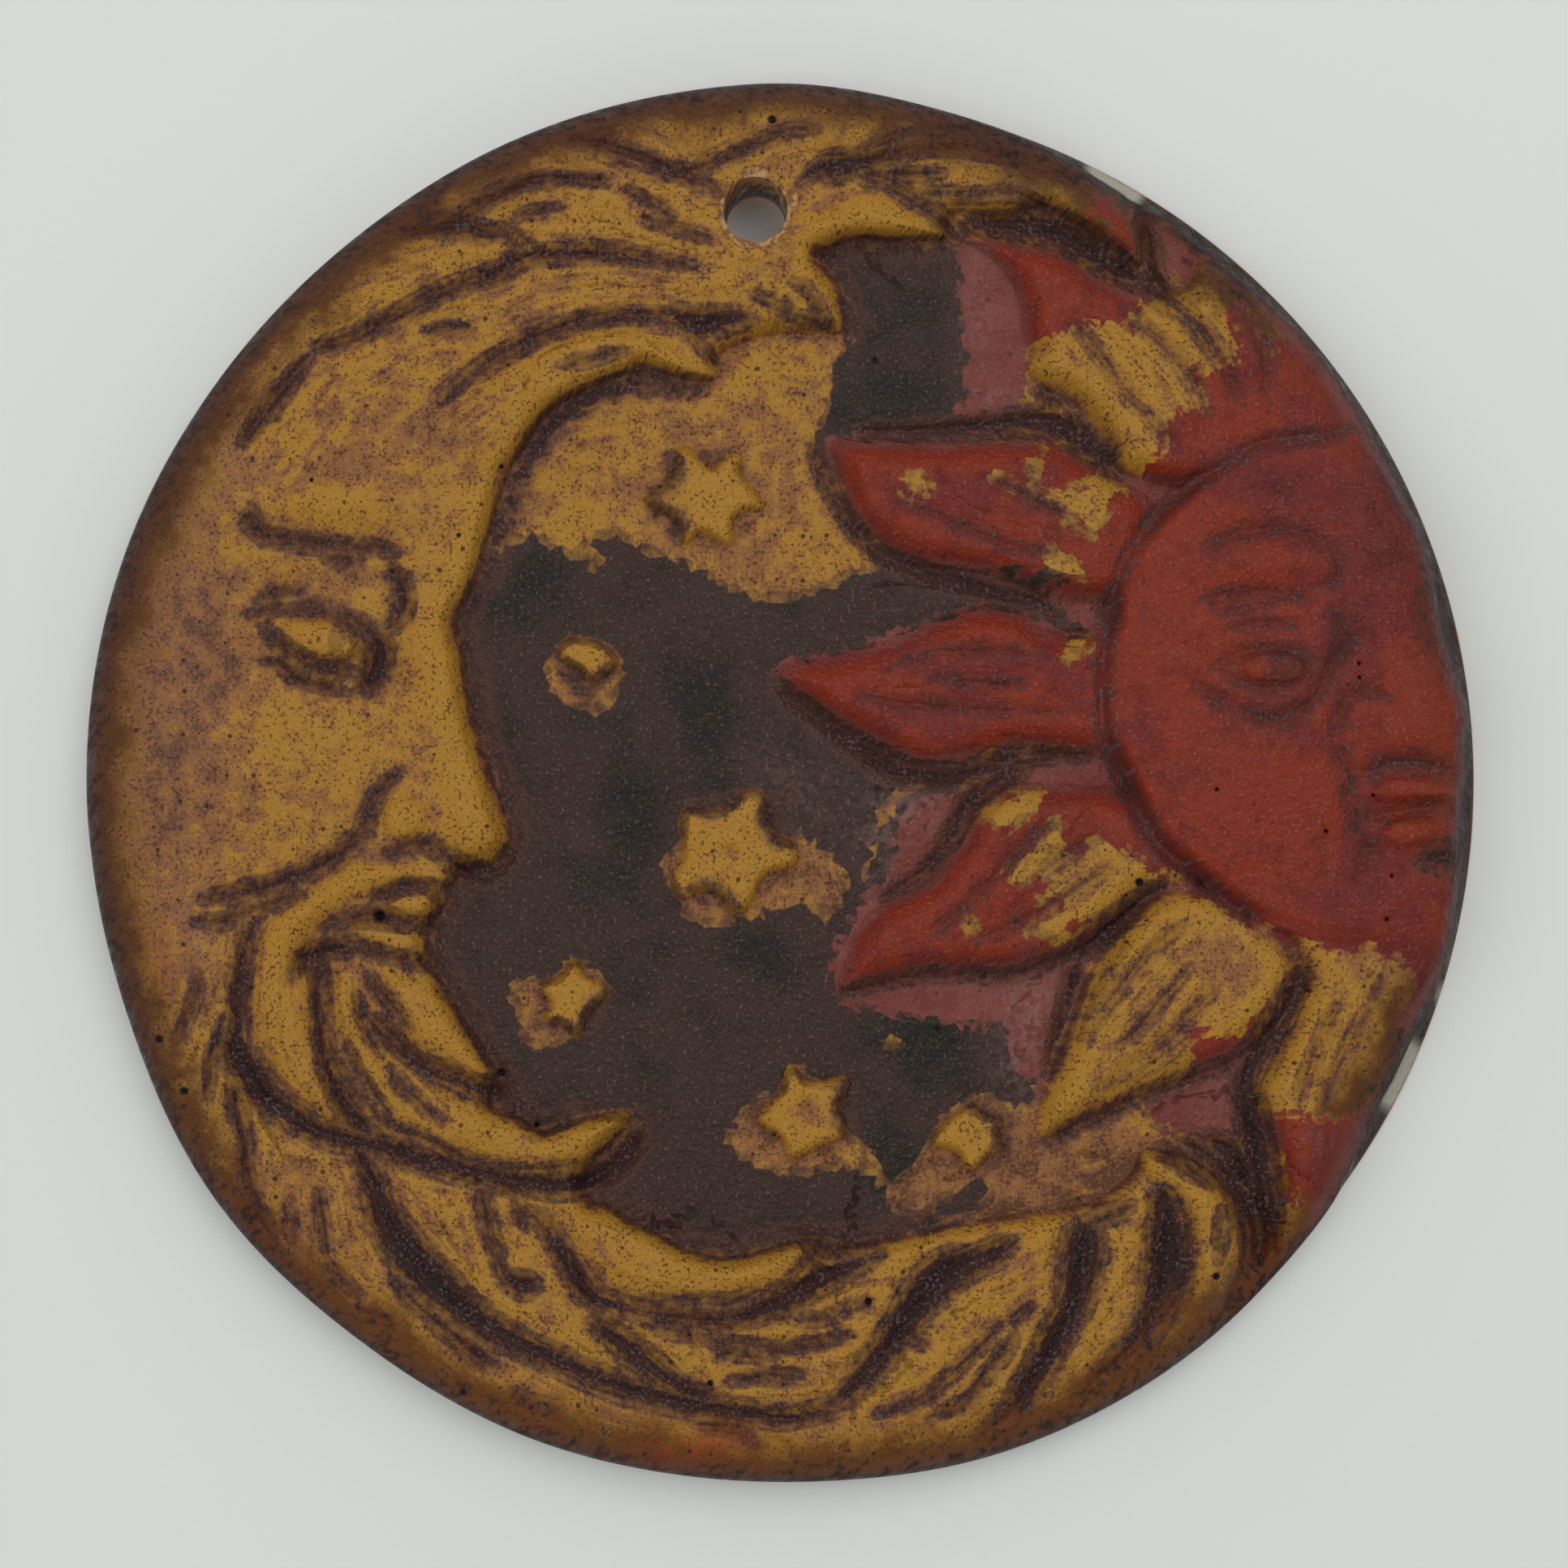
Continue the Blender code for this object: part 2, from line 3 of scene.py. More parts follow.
import bmesh
import bpy
import numpy as np
from mathutils import Matrix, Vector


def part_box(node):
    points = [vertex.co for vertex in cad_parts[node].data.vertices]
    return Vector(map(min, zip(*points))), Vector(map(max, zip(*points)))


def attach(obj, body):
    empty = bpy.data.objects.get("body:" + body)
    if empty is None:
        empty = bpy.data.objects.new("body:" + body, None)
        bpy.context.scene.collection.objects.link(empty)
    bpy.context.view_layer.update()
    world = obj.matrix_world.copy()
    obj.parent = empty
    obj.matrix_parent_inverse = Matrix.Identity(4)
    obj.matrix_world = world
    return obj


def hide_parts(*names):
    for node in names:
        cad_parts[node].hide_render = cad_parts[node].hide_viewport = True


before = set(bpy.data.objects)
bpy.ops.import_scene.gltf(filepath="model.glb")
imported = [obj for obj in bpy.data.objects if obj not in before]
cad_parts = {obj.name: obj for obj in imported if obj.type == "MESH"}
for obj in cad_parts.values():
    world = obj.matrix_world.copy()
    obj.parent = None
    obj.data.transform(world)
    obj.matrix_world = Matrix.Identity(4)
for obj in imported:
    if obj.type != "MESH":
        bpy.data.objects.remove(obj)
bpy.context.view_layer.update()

low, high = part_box("wall_plate")

# The rim. The plate was pressed in a round mould, and its edge was trimmed and smoothed by hand:
# round on the left, and following the sun's profile on the right. The carving is drawn in a plan,
# u to the right and v up from the middle, in hundredths of the radius, with heights in metres.
PLAN_REACH = 100.7
UNIT = (high.z - low.z) / 2 / PLAN_REACH
TOP_HEIGHT = 0.013
EYE_DISTANCE = 0.335
EDGE_HEIGHT = 0.0045
SHOULDER = 7.0
SHOULDER_AT_SUN = 2.6
RIM = [
    (-98.2, 0), (-93.2, 31), (-80, 56), (-60, 76.8), (-38.5, 90), (-14, 97), (2, 98), (20, 94.8), (36, 89.2),
    (44, 84.2), (47, 82.2), (49, 81), (52, 79.8), (55, 77.6), (64.5, 70), (74, 61), (82, 49), (87, 39),
    (88.5, 36.5), (89.1, 35), (91.1, 27.3), (92, 21.7), (92.7, 19.3), (94.3, 14.2), (95.6, 10), (95.7, 8),
    (95.3, 5.5), (95.2, 2), (94.7, -4), (94.5, -8), (94.5, -12), (94.2, -16), (93, -23), (91, -29), (88.3, -34),
    (85.6, -40), (82, -47), (79, -54.5), (76, -60), (68, -69.7), (60, -77.5), (48, -86), (28, -94.7), (6, -98),
    (-14, -97.3), (-36, -92), (-60, -78.2), (-80, -58.7), (-92, -34), (-97, -14),
]  # fmt: skip


def spline(points, closed=False, per_span=5):
    """A smooth path through the points; a half width in the third place is carried along."""
    rows = np.array(points, float)
    if closed:
        rows = np.vstack([rows[-1], rows, rows[0], rows[1]])
    else:
        rows = np.vstack([2 * rows[0] - rows[1], rows, 2 * rows[-1] - rows[-2]])
    t = np.linspace(0, 1, per_span, endpoint=False)[None, :, None]
    a, b, c, d = (rows[i : len(rows) - 3 + i, None] for i in range(4))
    spans = b + 0.5 * t * (c - a + t * (2 * a - 5 * b + 4 * c - d + t * (3 * (b - c) + d - a)))
    path = spans.reshape(-1, rows.shape[1])
    return path if closed else np.vstack([path, rows[-2]])


def rim_radius(u, v):
    """The rim's distance from the middle in the direction of each point."""
    corners = np.array(RIM, float)
    angles = np.arctan2(corners[:, 1], corners[:, 0])
    rows = np.stack([angles, np.hypot(*corners.T)], axis=1)[np.argsort(angles)]
    turn = np.array([2 * math.pi, 0])
    angle, radius = spline(np.vstack([rows - turn, rows, rows + turn]), per_span=8).T
    return np.interp(np.arctan2(v, u), angle, radius)


def ease(x):
    """0 below 0, 1 above 1, and smooth between."""
    x = np.clip(x, 0, 1)
    return x * x * (3 - 2 * x)


def rounded_off(height, u, v):
    """The carving brought down to the edge over a rounded shoulder."""
    at_sun = ease((u - 66) / 12) * ease((50 - v) / 12) * ease((v + 34) / 10)
    shoulder = SHOULDER + (SHOULDER_AT_SUN - SHOULDER) * at_sun
    inward = np.clip((rim_radius(u, v) - np.hypot(u, v)) / shoulder, 0, 1)
    return EDGE_HEIGHT + (height - EDGE_HEIGHT) * np.sqrt(1 - (1 - inward) ** 2)


# The moon's hair and beard. One mass of soft clay, raised over the sky, with each lock modelled
# between tapering grooves that were drawn with a tool; a few locks are laid over the rest.
HAIR_HEIGHT = 0.0112
LOCK_HEIGHT = 0.0126
SKY_HEIGHT = 0.0080
MOON_EDGE = 3.0
LOCK_EDGE = 4.0
MOON = [
    (-38.5, 44), (-40, 40), (-43.5, 28), (-46, 23), (-45, 18), (-44, 11), (-41.5, 2), (-39, -5), (-38.5, -7),
    (-39, -9.5), (-41.5, -11.7), (-44.5, -12.2), (-46.7, -14.5), (-47.5, -17), (-49.5, -19.5), (-50, -23.5),
    (-46, -31.5), (-42, -37.5), (-40.7, -40.5), (-41, -45.5), (-38, -46.5), (-34, -48.8), (-31, -47.6),
    (-25, -46.3), (-23, -45.9), (-21.9, -46.6), (-22.5, -48.2), (-26, -51.8), (-28, -56), (-27, -58.8),
    (-24, -60), (-13, -65.7), (-7, -66.5), (1.5, -64.3), (5, -65), (16, -63.6), (21, -62.3), (32, -60.5),
    (42, -59), (48, -55), (50, -51.8), (56, -52.3), (60.5, -55.5), (63.3, -60), (64.2, -66), (63, -70.5),
    (62, -76), (66, -86), (30, -112), (-30, -112), (-84, -84), (-116, 0), (-84, 84), (-30, 112), (30, 112),
    (58, 92), (51, 80), (49.8, 72.5), (48, 73.2), (40, 78.8), (36, 80.6), (32, 79.7), (28, 79.5), (24, 79.9),
    (22.9, 77.8), (22.5, 76.3), (16, 76), (10, 76.2), (6, 75), (5, 73.2), (7.7, 69), (8.3, 63.6), (5, 62.9),
    (0, 63), (-5, 62), (-9, 60), (-9.6, 57), (-13, 56.4), (-20, 58.2), (-22, 57.5), (-30, 54), (-34, 51),
]  # fmt: skip
FORELOCK = [
    (-50, 50), (-44, 56), (-36, 61.3), (-28, 63.6), (-20, 63.8), (-14, 59.8), (-9.5, 57), (-13, 56.4),
    (-20, 58.2), (-22, 57.5), (-30, 54), (-34, 51), (-38, 45), (-44, 44),
]  # fmt: skip
MOUSTACHE = [
    (-46.5, -12.8), (-49, -12.3), (-55, -11), (-61, -10.8), (-64, -12.5), (-70, -16.7), (-74, -22), (-75.5, -30),
    (-75.2, -34), (-72, -41), (-69, -44.3), (-61.5, -48.8), (-64.7, -38), (-66.3, -27.5), (-67.5, -23.5),
    (-64, -18.9), (-55, -14.7), (-52, -13.8), (-48, -14),
]  # fmt: skip
CHIN_LOCK = [
    (-57, -26), (-54, -26.5), (-49, -29), (-42.5, -38.7), (-41, -40), (-40.7, -41.3), (-42.5, -42),
    (-44.5, -41.7), (-49.5, -39.7), (-52, -37.8), (-55.5, -33.3), (-57, -30),
]  # fmt: skip
BEARD_LOCK = [
    (-61.5, -26), (-60.5, -29), (-59.5, -32), (-52.5, -40.5), (-47, -43.5), (-38, -46.5), (-34, -48.8),
    (-31, -47.6), (-23, -45.9), (-21.8, -47), (-22.5, -48.2), (-26, -51.8), (-31.5, -55), (-39, -55.3),
    (-54, -49.5), (-57, -47.5), (-61, -42), (-63.3, -36), (-63.7, -28),
]  # fmt: skip
LOW_LOCK = [
    (-31.5, -60.5), (-29, -59.8), (-25.5, -58.7), (-24, -60), (-19, -62.8), (-13, -65.7), (-7, -66.5), (0, -64.4),
    (2.7, -65), (1.7, -68), (-2, -71.2), (-7.5, -73.2), (-14, -74.4), (-20, -73), (-25.5, -70), (-29.5, -65.5),
    (-32, -61.5),
]  # fmt: skip
LOCK_RIGHT_OF_HOLE = [
    (-2, 76), (2, 79.5), (8, 82), (12, 83.2), (20, 79), (22.5, 76.3), (16, 76), (10, 76.2), (4, 74.6),
]  # fmt: skip
CURL = [
    (50, -51.3), (56, -52.3), (60.5, -55.5), (63.3, -60), (64.2, -66), (63, -70.5), (58, -75), (56.2, -72.5),
    (57, -68), (55.7, -62), (53, -57.5), (50, -54.5),
]  # fmt: skip
# Each lock with the place where it grows out of the mass, and how far from there it stands out fully.
LOCKS = [
    (FORELOCK, (-56, 42), 26), (MOUSTACHE, (-46, -13), 3), (CHIN_LOCK, (-58, -25), 5), (BEARD_LOCK, (-62, -25), 6),
    (LOW_LOCK, (-34, -60), 9), (LOCK_RIGHT_OF_HOLE, (-4, 76), 9), (CURL, (52, -64), 8),
]  # fmt: skip
# A stroke is a row of (u, v, half width); each runs out to a point over this length at its ends.
TAPER = 1.8
HAIR_STROKES = [
    [(1.5, -63.6, 0.6), (4.2, -64.8, 0.9), (3.6, -67, 1), (1, -70, 0.8)],
    [(-76.5, 47.5, 0.7), (-71, 54.5, 1.1), (-67, 59.5, 0.5)],
    [(-66, 61, 0.6), (-62, 62, 0.9), (-58, 64, 1), (-54, 65.7, 1), (-48, 69, 1), (-41, 71.3, 1.1),
     (-36.5, 73.8, 1.1), (-32, 74.1, 1.1), (-24, 74.2, 1.1), (-13, 72.5, 0.3)],
    [(-53.5, 77.4, 0.4), (-50, 78, 1.1), (-46, 78.3, 1.7), (-44, 80.5, 0.9), (-40, 82.8, 0.8), (-36, 84.2, 0.7),
     (-32, 84.7, 0.6), (-25, 84.3, 0.3)],
    [(-46, 78, 1.6), (-42, 77.2, 0.9), (-39, 77, 0.8), (-35, 74, 0.9)],
    [(-38, 79, 0.3), (-35.5, 80.2, 0.5), (-31.8, 80.6, 0.3)],
    [(-50.5, 63.2, 0.3), (-48, 63.8, 0.4), (-45, 63.8, 0.3)],
    [(-48.5, 53.7, 0.5), (-42, 58.7, 0.8), (-35, 62.5, 0.9), (-28, 65, 0.8), (-21, 65.5, 0.8), (-16, 65.4, 1),
     (-12.5, 64.3, 2.2), (-9, 64.8, 1.7), (-4.5, 65, 0.4)],
    [(-13, 64, 1.3), (-11.8, 61.5, 0.8), (-10.8, 59.3, 0.3)],
    [(-30, 90, 0.5), (-26, 89.5, 0.9), (-23, 88.3, 1), (-20, 87.5, 1), (-17, 86, 1), (-14, 85.2, 1),
     (-9.8, 82.8, 0.5)],
    [(-14.5, 85.5, 0.6), (-10, 87, 0.6), (-1, 91, 0.5), (4, 91.7, 0.3)],
    [(-22, 83, 0.3), (-18, 81, 0.4), (-16, 79.6, 0.3)],
    [(-20, 79, 0.3), (-16, 77.8, 0.4), (-11, 76, 0.3)],
    [(1, 70.2, 0.3), (3, 69, 0.5), (6.2, 64.2, 0.4)],
    [(-4, 68.5, 0.3), (-1, 67, 0.5), (1, 65.5, 0.5), (5.5, 64, 0.4)],
    [(2, 84.3, 0.4), (5, 86, 1.1), (7, 86.3, 2), (12, 87.3, 1.2), (20, 89.1, 0.8), (28, 88.5, 0.7),
     (35, 87, 0.6), (41, 84.5, 0.3)],
    [(10, 88.3, 0.6), (16, 91, 0.5), (20, 91.6, 0.5), (28, 91.3, 0.5), (34, 89, 0.3)],
    [(13, 85, 0.8), (16, 85.2, 0.7), (22, 85.4, 0.3)],
    [(10, 85.3, 1.3), (14, 84.5, 0.9), (16, 83, 0.8), (21, 79.8, 0.8), (24, 76.3, 0.7)],
    [(18, 82.5, 0.6), (27, 82.5, 0.6), (32, 82.6, 0.6), (36, 80.9, 0.4)],
    [(49.5, 80, 1), (50.5, 77, 0.9), (51.5, 71, 1.2), (53, 69, 1.1)],
    [(-31.5, 58.5, 0.3), (-29, 59, 0.5), (-23, 60.5, 0.3)],
    [(-82.5, -27, 0.5), (-83, -30, 0.6), (-85.5, -36, 0.4)],
    [(-74.5, -19.5, 1.2), (-76, -23, 1.1), (-77, -31, 1.2), (-77, -35, 1.4), (-77, -38, 2.2), (-75, -41, 2.5),
     (-72.5, -44.5, 2.2), (-65, -49.2, 1.6), (-57, -51, 1.6), (-52, -52.6, 1.7), (-42, -55.2, 1.5),
     (-36, -56.2, 1.6), (-30, -56.3, 1.8), (-26, -55, 2), (-22.5, -52, 1.8), (-20.5, -48.8, 1.2)],
    [(-65.5, -25, 0.9), (-65, -37, 1), (-62.5, -44, 1.4), (-60.5, -47, 1.6), (-58, -49.5, 1.6)],
    [(-58.5, -32.5, 0.7), (-56.5, -34.8, 0.9), (-51, -39.3, 1), (-45, -42.2, 1.2), (-42, -43.3, 1.5),
     (-39, -43, 1.2)],
    [(-58.5, -27, 0.5), (-57, -29.5, 0.6), (-53, -34.5, 0.5)],
    [(-58.5, -45.5, 0.4), (-56, -48.3, 0.6), (-50, -50.5, 0.4), (-45, -52.8, 0.4), (-40, -54, 0.4),
     (-34, -54.4, 0.3), (-30, -53.6, 0.3)],
    [(-55.5, -40.2, 0.5), (-53.5, -43, 0.6), (-48.5, -47.8, 0.3)],
    [(-61.5, -37, 0.3), (-60, -41, 0.4), (-56, -46.5, 0.4)],
    [(-60, -30, 0.3), (-59, -34, 0.4), (-57, -38, 0.3)],
    [(-77.5, -42, 1.6), (-77, -46, 1), (-76, -50, 0.6), (-76, -54, 0.7), (-74.5, -60, 1), (-73, -63, 1),
     (-72, -64.5, 0.6)],
    [(-79, -33, 0.2), (-79.7, -36, 0.4), (-80.7, -39, 0.5), (-80.9, -44, 0.3)],
    [(-70, -59.8, 0.5), (-69.8, -62, 0.7), (-69.3, -64, 0.6)],
    [(-65.7, -57.5, 0.3), (-64.8, -64, 0.4), (-64.5, -65.5, 0.6)],
    [(-60.5, -51, 1.5), (-58.5, -55, 1.5), (-55.5, -62.5, 2.6), (-49.5, -70, 3), (-41, -76.8, 1.9),
     (-26, -83.8, 1.6), (-16, -86.7, 1.6), (-5, -88.6, 1.3), (0, -89, 1.2), (4, -88.5, 1.1), (7.5, -86.8, 1),
     (12.5, -81.5, 2.1), (15, -78, 2.2), (20, -71, 3), (23, -68.5, 3), (26, -67.3, 2), (29, -66.2, 1.7),
     (32.5, -63.9, 0.5)],
    [(-55, -69.5, 0.7), (-52.5, -73, 0.5), (-43, -80.7, 1.2), (-41, -82, 0.7)],
    [(-38, -85.5, 0.3), (-36, -87, 0.5), (-32.5, -88.5, 0.3)],
    [(-64, -68, 0.3), (-62, -70, 0.4), (-60, -72, 0.3)],
    [(-60, -74, 0.3), (-58, -74.8, 0.4), (-56, -75.5, 0.3)],
    [(-12, -90.2, 0.4), (-9, -90.3, 0.9), (-6.5, -91, 0.8), (-5, -92, 0.7), (-4.3, -93, 0.3)],
    [(-20, -72.5, 0.3), (-15, -72.9, 0.4), (-11, -72.7, 0.6), (-8, -72.8, 0.5), (-4, -71.5, 0.2)],
    [(-36, -60, 0.8), (-34, -62, 1), (-29, -70, 1.6), (-26.5, -72.5, 1.5), (-23, -73.5, 1), (-19, -74.8, 1),
     (-10, -75.5, 1), (-5, -74.6, 1.3), (-1, -73, 1.8), (5, -69.5, 2), (13.5, -65.9, 0.6)],
    [(-42.8, -57, 1.2), (-42.2, -60, 0.7), (-40.3, -67, 0.7), (-39.5, -69.5, 0.8), (-37, -70.5, 1.6),
     (-34.8, -71, 0.9)],
    [(-38, -59, 1.3), (-37, -61, 0.9), (-36.5, -62.5, 0.4)],
    [(-27.5, -75.5, 1), (-22, -79.5, 1.9), (-16, -84.3, 1.4), (-9, -87.3, 1.2)],
    [(-11, -78.3, 0.7), (-3, -79.4, 0.7), (1, -79.2, 0.5), (9, -77.5, 0.2)],
    [(-10, -79.6, 0.5), (-6, -80.3, 0.6), (-2, -80.6, 0.3)],
    [(-8, -84, 0.3), (-1, -83.2, 0.7), (2, -83, 0.4)],
    [(2, -75.4, 0.5), (5, -75.2, 0.6), (11, -73.3, 0.3)],
    [(-18, -77, 0.5), (-15, -77.4, 0.5), (-12, -77.5, 0.4)],
    [(16.5, -78, 0.9), (19, -79, 0.9)],
    [(30, -76.5, 0.3), (21, -85.2, 0.6), (15, -88, 0.4), (12.5, -88.6, 0.3)],
    [(32, -77.7, 0.6), (31, -79.5, 0.6), (25, -86.5, 0.5), (20, -89.5, 0.2)],
    [(34.5, -73.5, 0.3), (33, -74.5, 0.3), (32, -75.5, 0.3)],
    [(42, -61.5, 1.1), (46, -60.6, 1), (48.5, -59.3, 0.7)],
    [(41.8, -62.5, 2.6), (41.6, -66, 3), (41, -70, 2.6), (39.8, -74, 2.5), (33.3, -86, 1.9), (30.3, -89.3, 1.3),
     (27, -91.6, 0.7)],
    [(52, -57, 1.2), (53.3, -60.5, 2.2), (53.5, -64, 3.1), (53.5, -68, 3.3), (52.8, -72, 3), (50.8, -76, 2),
     (48.3, -79.3, 1.6), (42.5, -84.8, 0.8)],
    [(52.5, -52.5, 0.6), (55, -53.3, 1), (59.5, -56.5, 0.3)],
    [(61, -60, 0.6), (61.2, -62.5, 0.7), (60.6, -67, 0.4)],
    [(55.5, -50.6, 0.7), (59, -52.3, 1), (62, -55, 1.4), (64.3, -58.5, 1.6), (65.6, -62, 1.8), (66, -66, 1.7),
     (65, -69.3, 1)],
]  # fmt: skip
# The fine lines a brush or a comb left along the hair, as smooth bands round the plate.
FLUTE_HEIGHT = 0.00011
FLUTE_WIDTH = 0.9
FLUTES_AROUND = 22
FLUTES_START = 58
# The face stays free of them.
FACE_AT = (-72, 14)
FACE_REACH = (32, 38)


def near(u, v, path, margin):
    """Which points lie within a margin of the path's own box."""
    first, last = path[:, :2].min(0) - margin, path[:, :2].max(0) + margin
    return np.flatnonzero((u > first[0]) & (u < last[0]) & (v > first[1]) & (v < last[1]))


def to_segment(u, v, start, end):
    """How far along a segment each point is, from 0 to 1, and how far it is from it."""
    du, dv = end[0] - start[0], end[1] - start[1]
    t = np.clip(((u - start[0]) * du + (v - start[1]) * dv) / (du * du + dv * dv + 1e-9), 0, 1)
    return t, np.hypot(u - start[0] - du * t, v - start[1] - dv * t)


def tapered(points):
    """A stroke's smooth path, with its width run out at both ends, and how far along it each point is."""
    path = spline(points)
    run = np.concatenate([[0], np.cumsum(np.hypot(*np.diff(path[:, :2], axis=0).T))])
    path[:, 2] *= np.clip(np.minimum(run, run[-1] - run) / TAPER, 0.1, 1)
    return np.column_stack([path, run])


def inside_strokes(u, v, strokes, reach=5.0):
    """How far each point lies inside the nearest of several strokes; negative outside them."""
    depth = np.full(u.shape, -reach)
    for points in strokes:
        path = tapered(points)
        at = near(u, v, path, path[:, 2].max() + reach)
        x, y, best = u[at], v[at], depth[at]
        for start, end in zip(path[:-1], path[1:]):
            t, gap = to_segment(x, y, start, end)
            best = np.maximum(best, start[2] + (end[2] - start[2]) * t - gap)
        depth[at] = best
    return depth


def inside_outline(u, v, points, reach=8.0):
    """How far each point lies inside a closed outline; negative outside it."""
    path = spline(points, closed=True)
    at = near(u, v, path, reach)
    x, y = u[at], v[at]
    gap, odd = np.full(at.shape, 1e3), np.zeros(at.shape, bool)
    for start, end in zip(path, np.roll(path, -1, 0)):
        gap = np.minimum(gap, to_segment(x, y, start, end)[1])
        if end[1] != start[1]:
            crosses = x < start[0] + (end[0] - start[0]) * (y - start[1]) / (end[1] - start[1])
            odd ^= ((start[1] > y) != (end[1] > y)) & crosses
    depth = np.full(u.shape, -reach)
    depth[at] = np.maximum(np.where(odd, gap, -gap), -reach)
    return depth


def raised(height, inside, top, edge):
    """The ground with a form on it, which rises to its top over an edge this many hundredths wide."""
    return height + (top - height) * np.sin(np.clip(inside / edge, 0, 1) * math.pi / 2)


def grooved(height, inside, depth=0.0015, slope=0.0008, sag=0.0006, beside=1.9):
    """The ground with grooves cut in it; the wider a groove, the deeper, and the ground beside it sinks to it."""
    into = np.maximum(inside, 0)
    return height - depth * np.tanh(slope * into / depth) - sag * np.exp(np.minimum(inside, 0) / beside)


def ripple(x, y, seed, around=4096):
    """Smooth random values between -1 and 1 on a plan whose cells are 1 wide; x comes round after some cells."""
    ix, iy = np.floor(x), np.floor(y)
    fx, fy = ease(x - ix), ease(y - iy)

    def corner(i, j):
        return 2 * np.modf(np.abs(np.sin(np.mod(i, around) * 127.1 + j * 311.7 + seed * 74.7) * 43758.5453))[0] - 1

    below = corner(ix, iy) + (corner(ix + 1, iy) - corner(ix, iy)) * fx
    above = corner(ix, iy + 1) + (corner(ix + 1, iy + 1) - corner(ix, iy + 1)) * fx
    return below + (above - below) * fy


def hair(u, v, height):
    """The height with the moon's mass, its locks and their grooves, and how far inside the mass each point is."""
    moon = inside_outline(u, v, MOON)
    height = raised(height, moon, HAIR_HEIGHT, MOON_EDGE)
    for lock, root, length in LOCKS:
        inside = inside_outline(u, v, lock) * ease(np.hypot(u - root[0], v - root[1]) / length)
        height = raised(height, inside, LOCK_HEIGHT, LOCK_EDGE)
    height = grooved(height, inside_strokes(u, v, HAIR_STROKES))
    around = np.arctan2(v, u) * FLUTES_AROUND / (2 * math.pi)
    flutes = ripple(around, np.hypot(u, v) / FLUTE_WIDTH, 3, around=FLUTES_AROUND)
    flutes += 0.6 * ripple(around * 2, np.hypot(u, v) / FLUTE_WIDTH * 1.9, 8, around=2 * FLUTES_AROUND)
    from_face = np.hypot((u - FACE_AT[0]) / FACE_REACH[0], (v - FACE_AT[1]) / FACE_REACH[1])
    off_face = ease(from_face * 3 - 2.6)
    at_rim = ease((np.hypot(u, v) - FLUTES_START) / 8)
    return height + FLUTE_HEIGHT * flutes * off_face * ease(moon / 3) * at_rim, moon


# The moon's face. Smooth clay, modelled with the thumb and a rounded tool: a brow, a deep-set eye,
# a long nose with its wing, and lips that part over the chin's lock.
MOON_FACE_DEPTH = 0.0022
SOFT_RISE = 0.0007
MOON_SWELLS = [
    ((-73, 3), (13, 12), 0, 0.5),
    ((-60, 48), (20, 9), 20, 0.3),
    ((-64, 39.2), (11, 3.2), -3, 0.55),
    ((-66, 27.5), (11, 3.5), 0, -0.45),
    ((-65, 20), (6.5, 3.4), 0, 0.45),
    ((-57, 16), (3.5, 7), 0, -0.5),
    ((-48.5, 12), (3.5, 24), 12, 0.45),
    ((-43.5, -5.5), (5.5, 4.5), 0, 0.5),
    ((-54, -4.5), (4, 4), 0, 0.45),
    ((-86, 40), (5, 5), 0, -0.3),
    ((-66, -25), (4, 4), 0, -0.5),
]
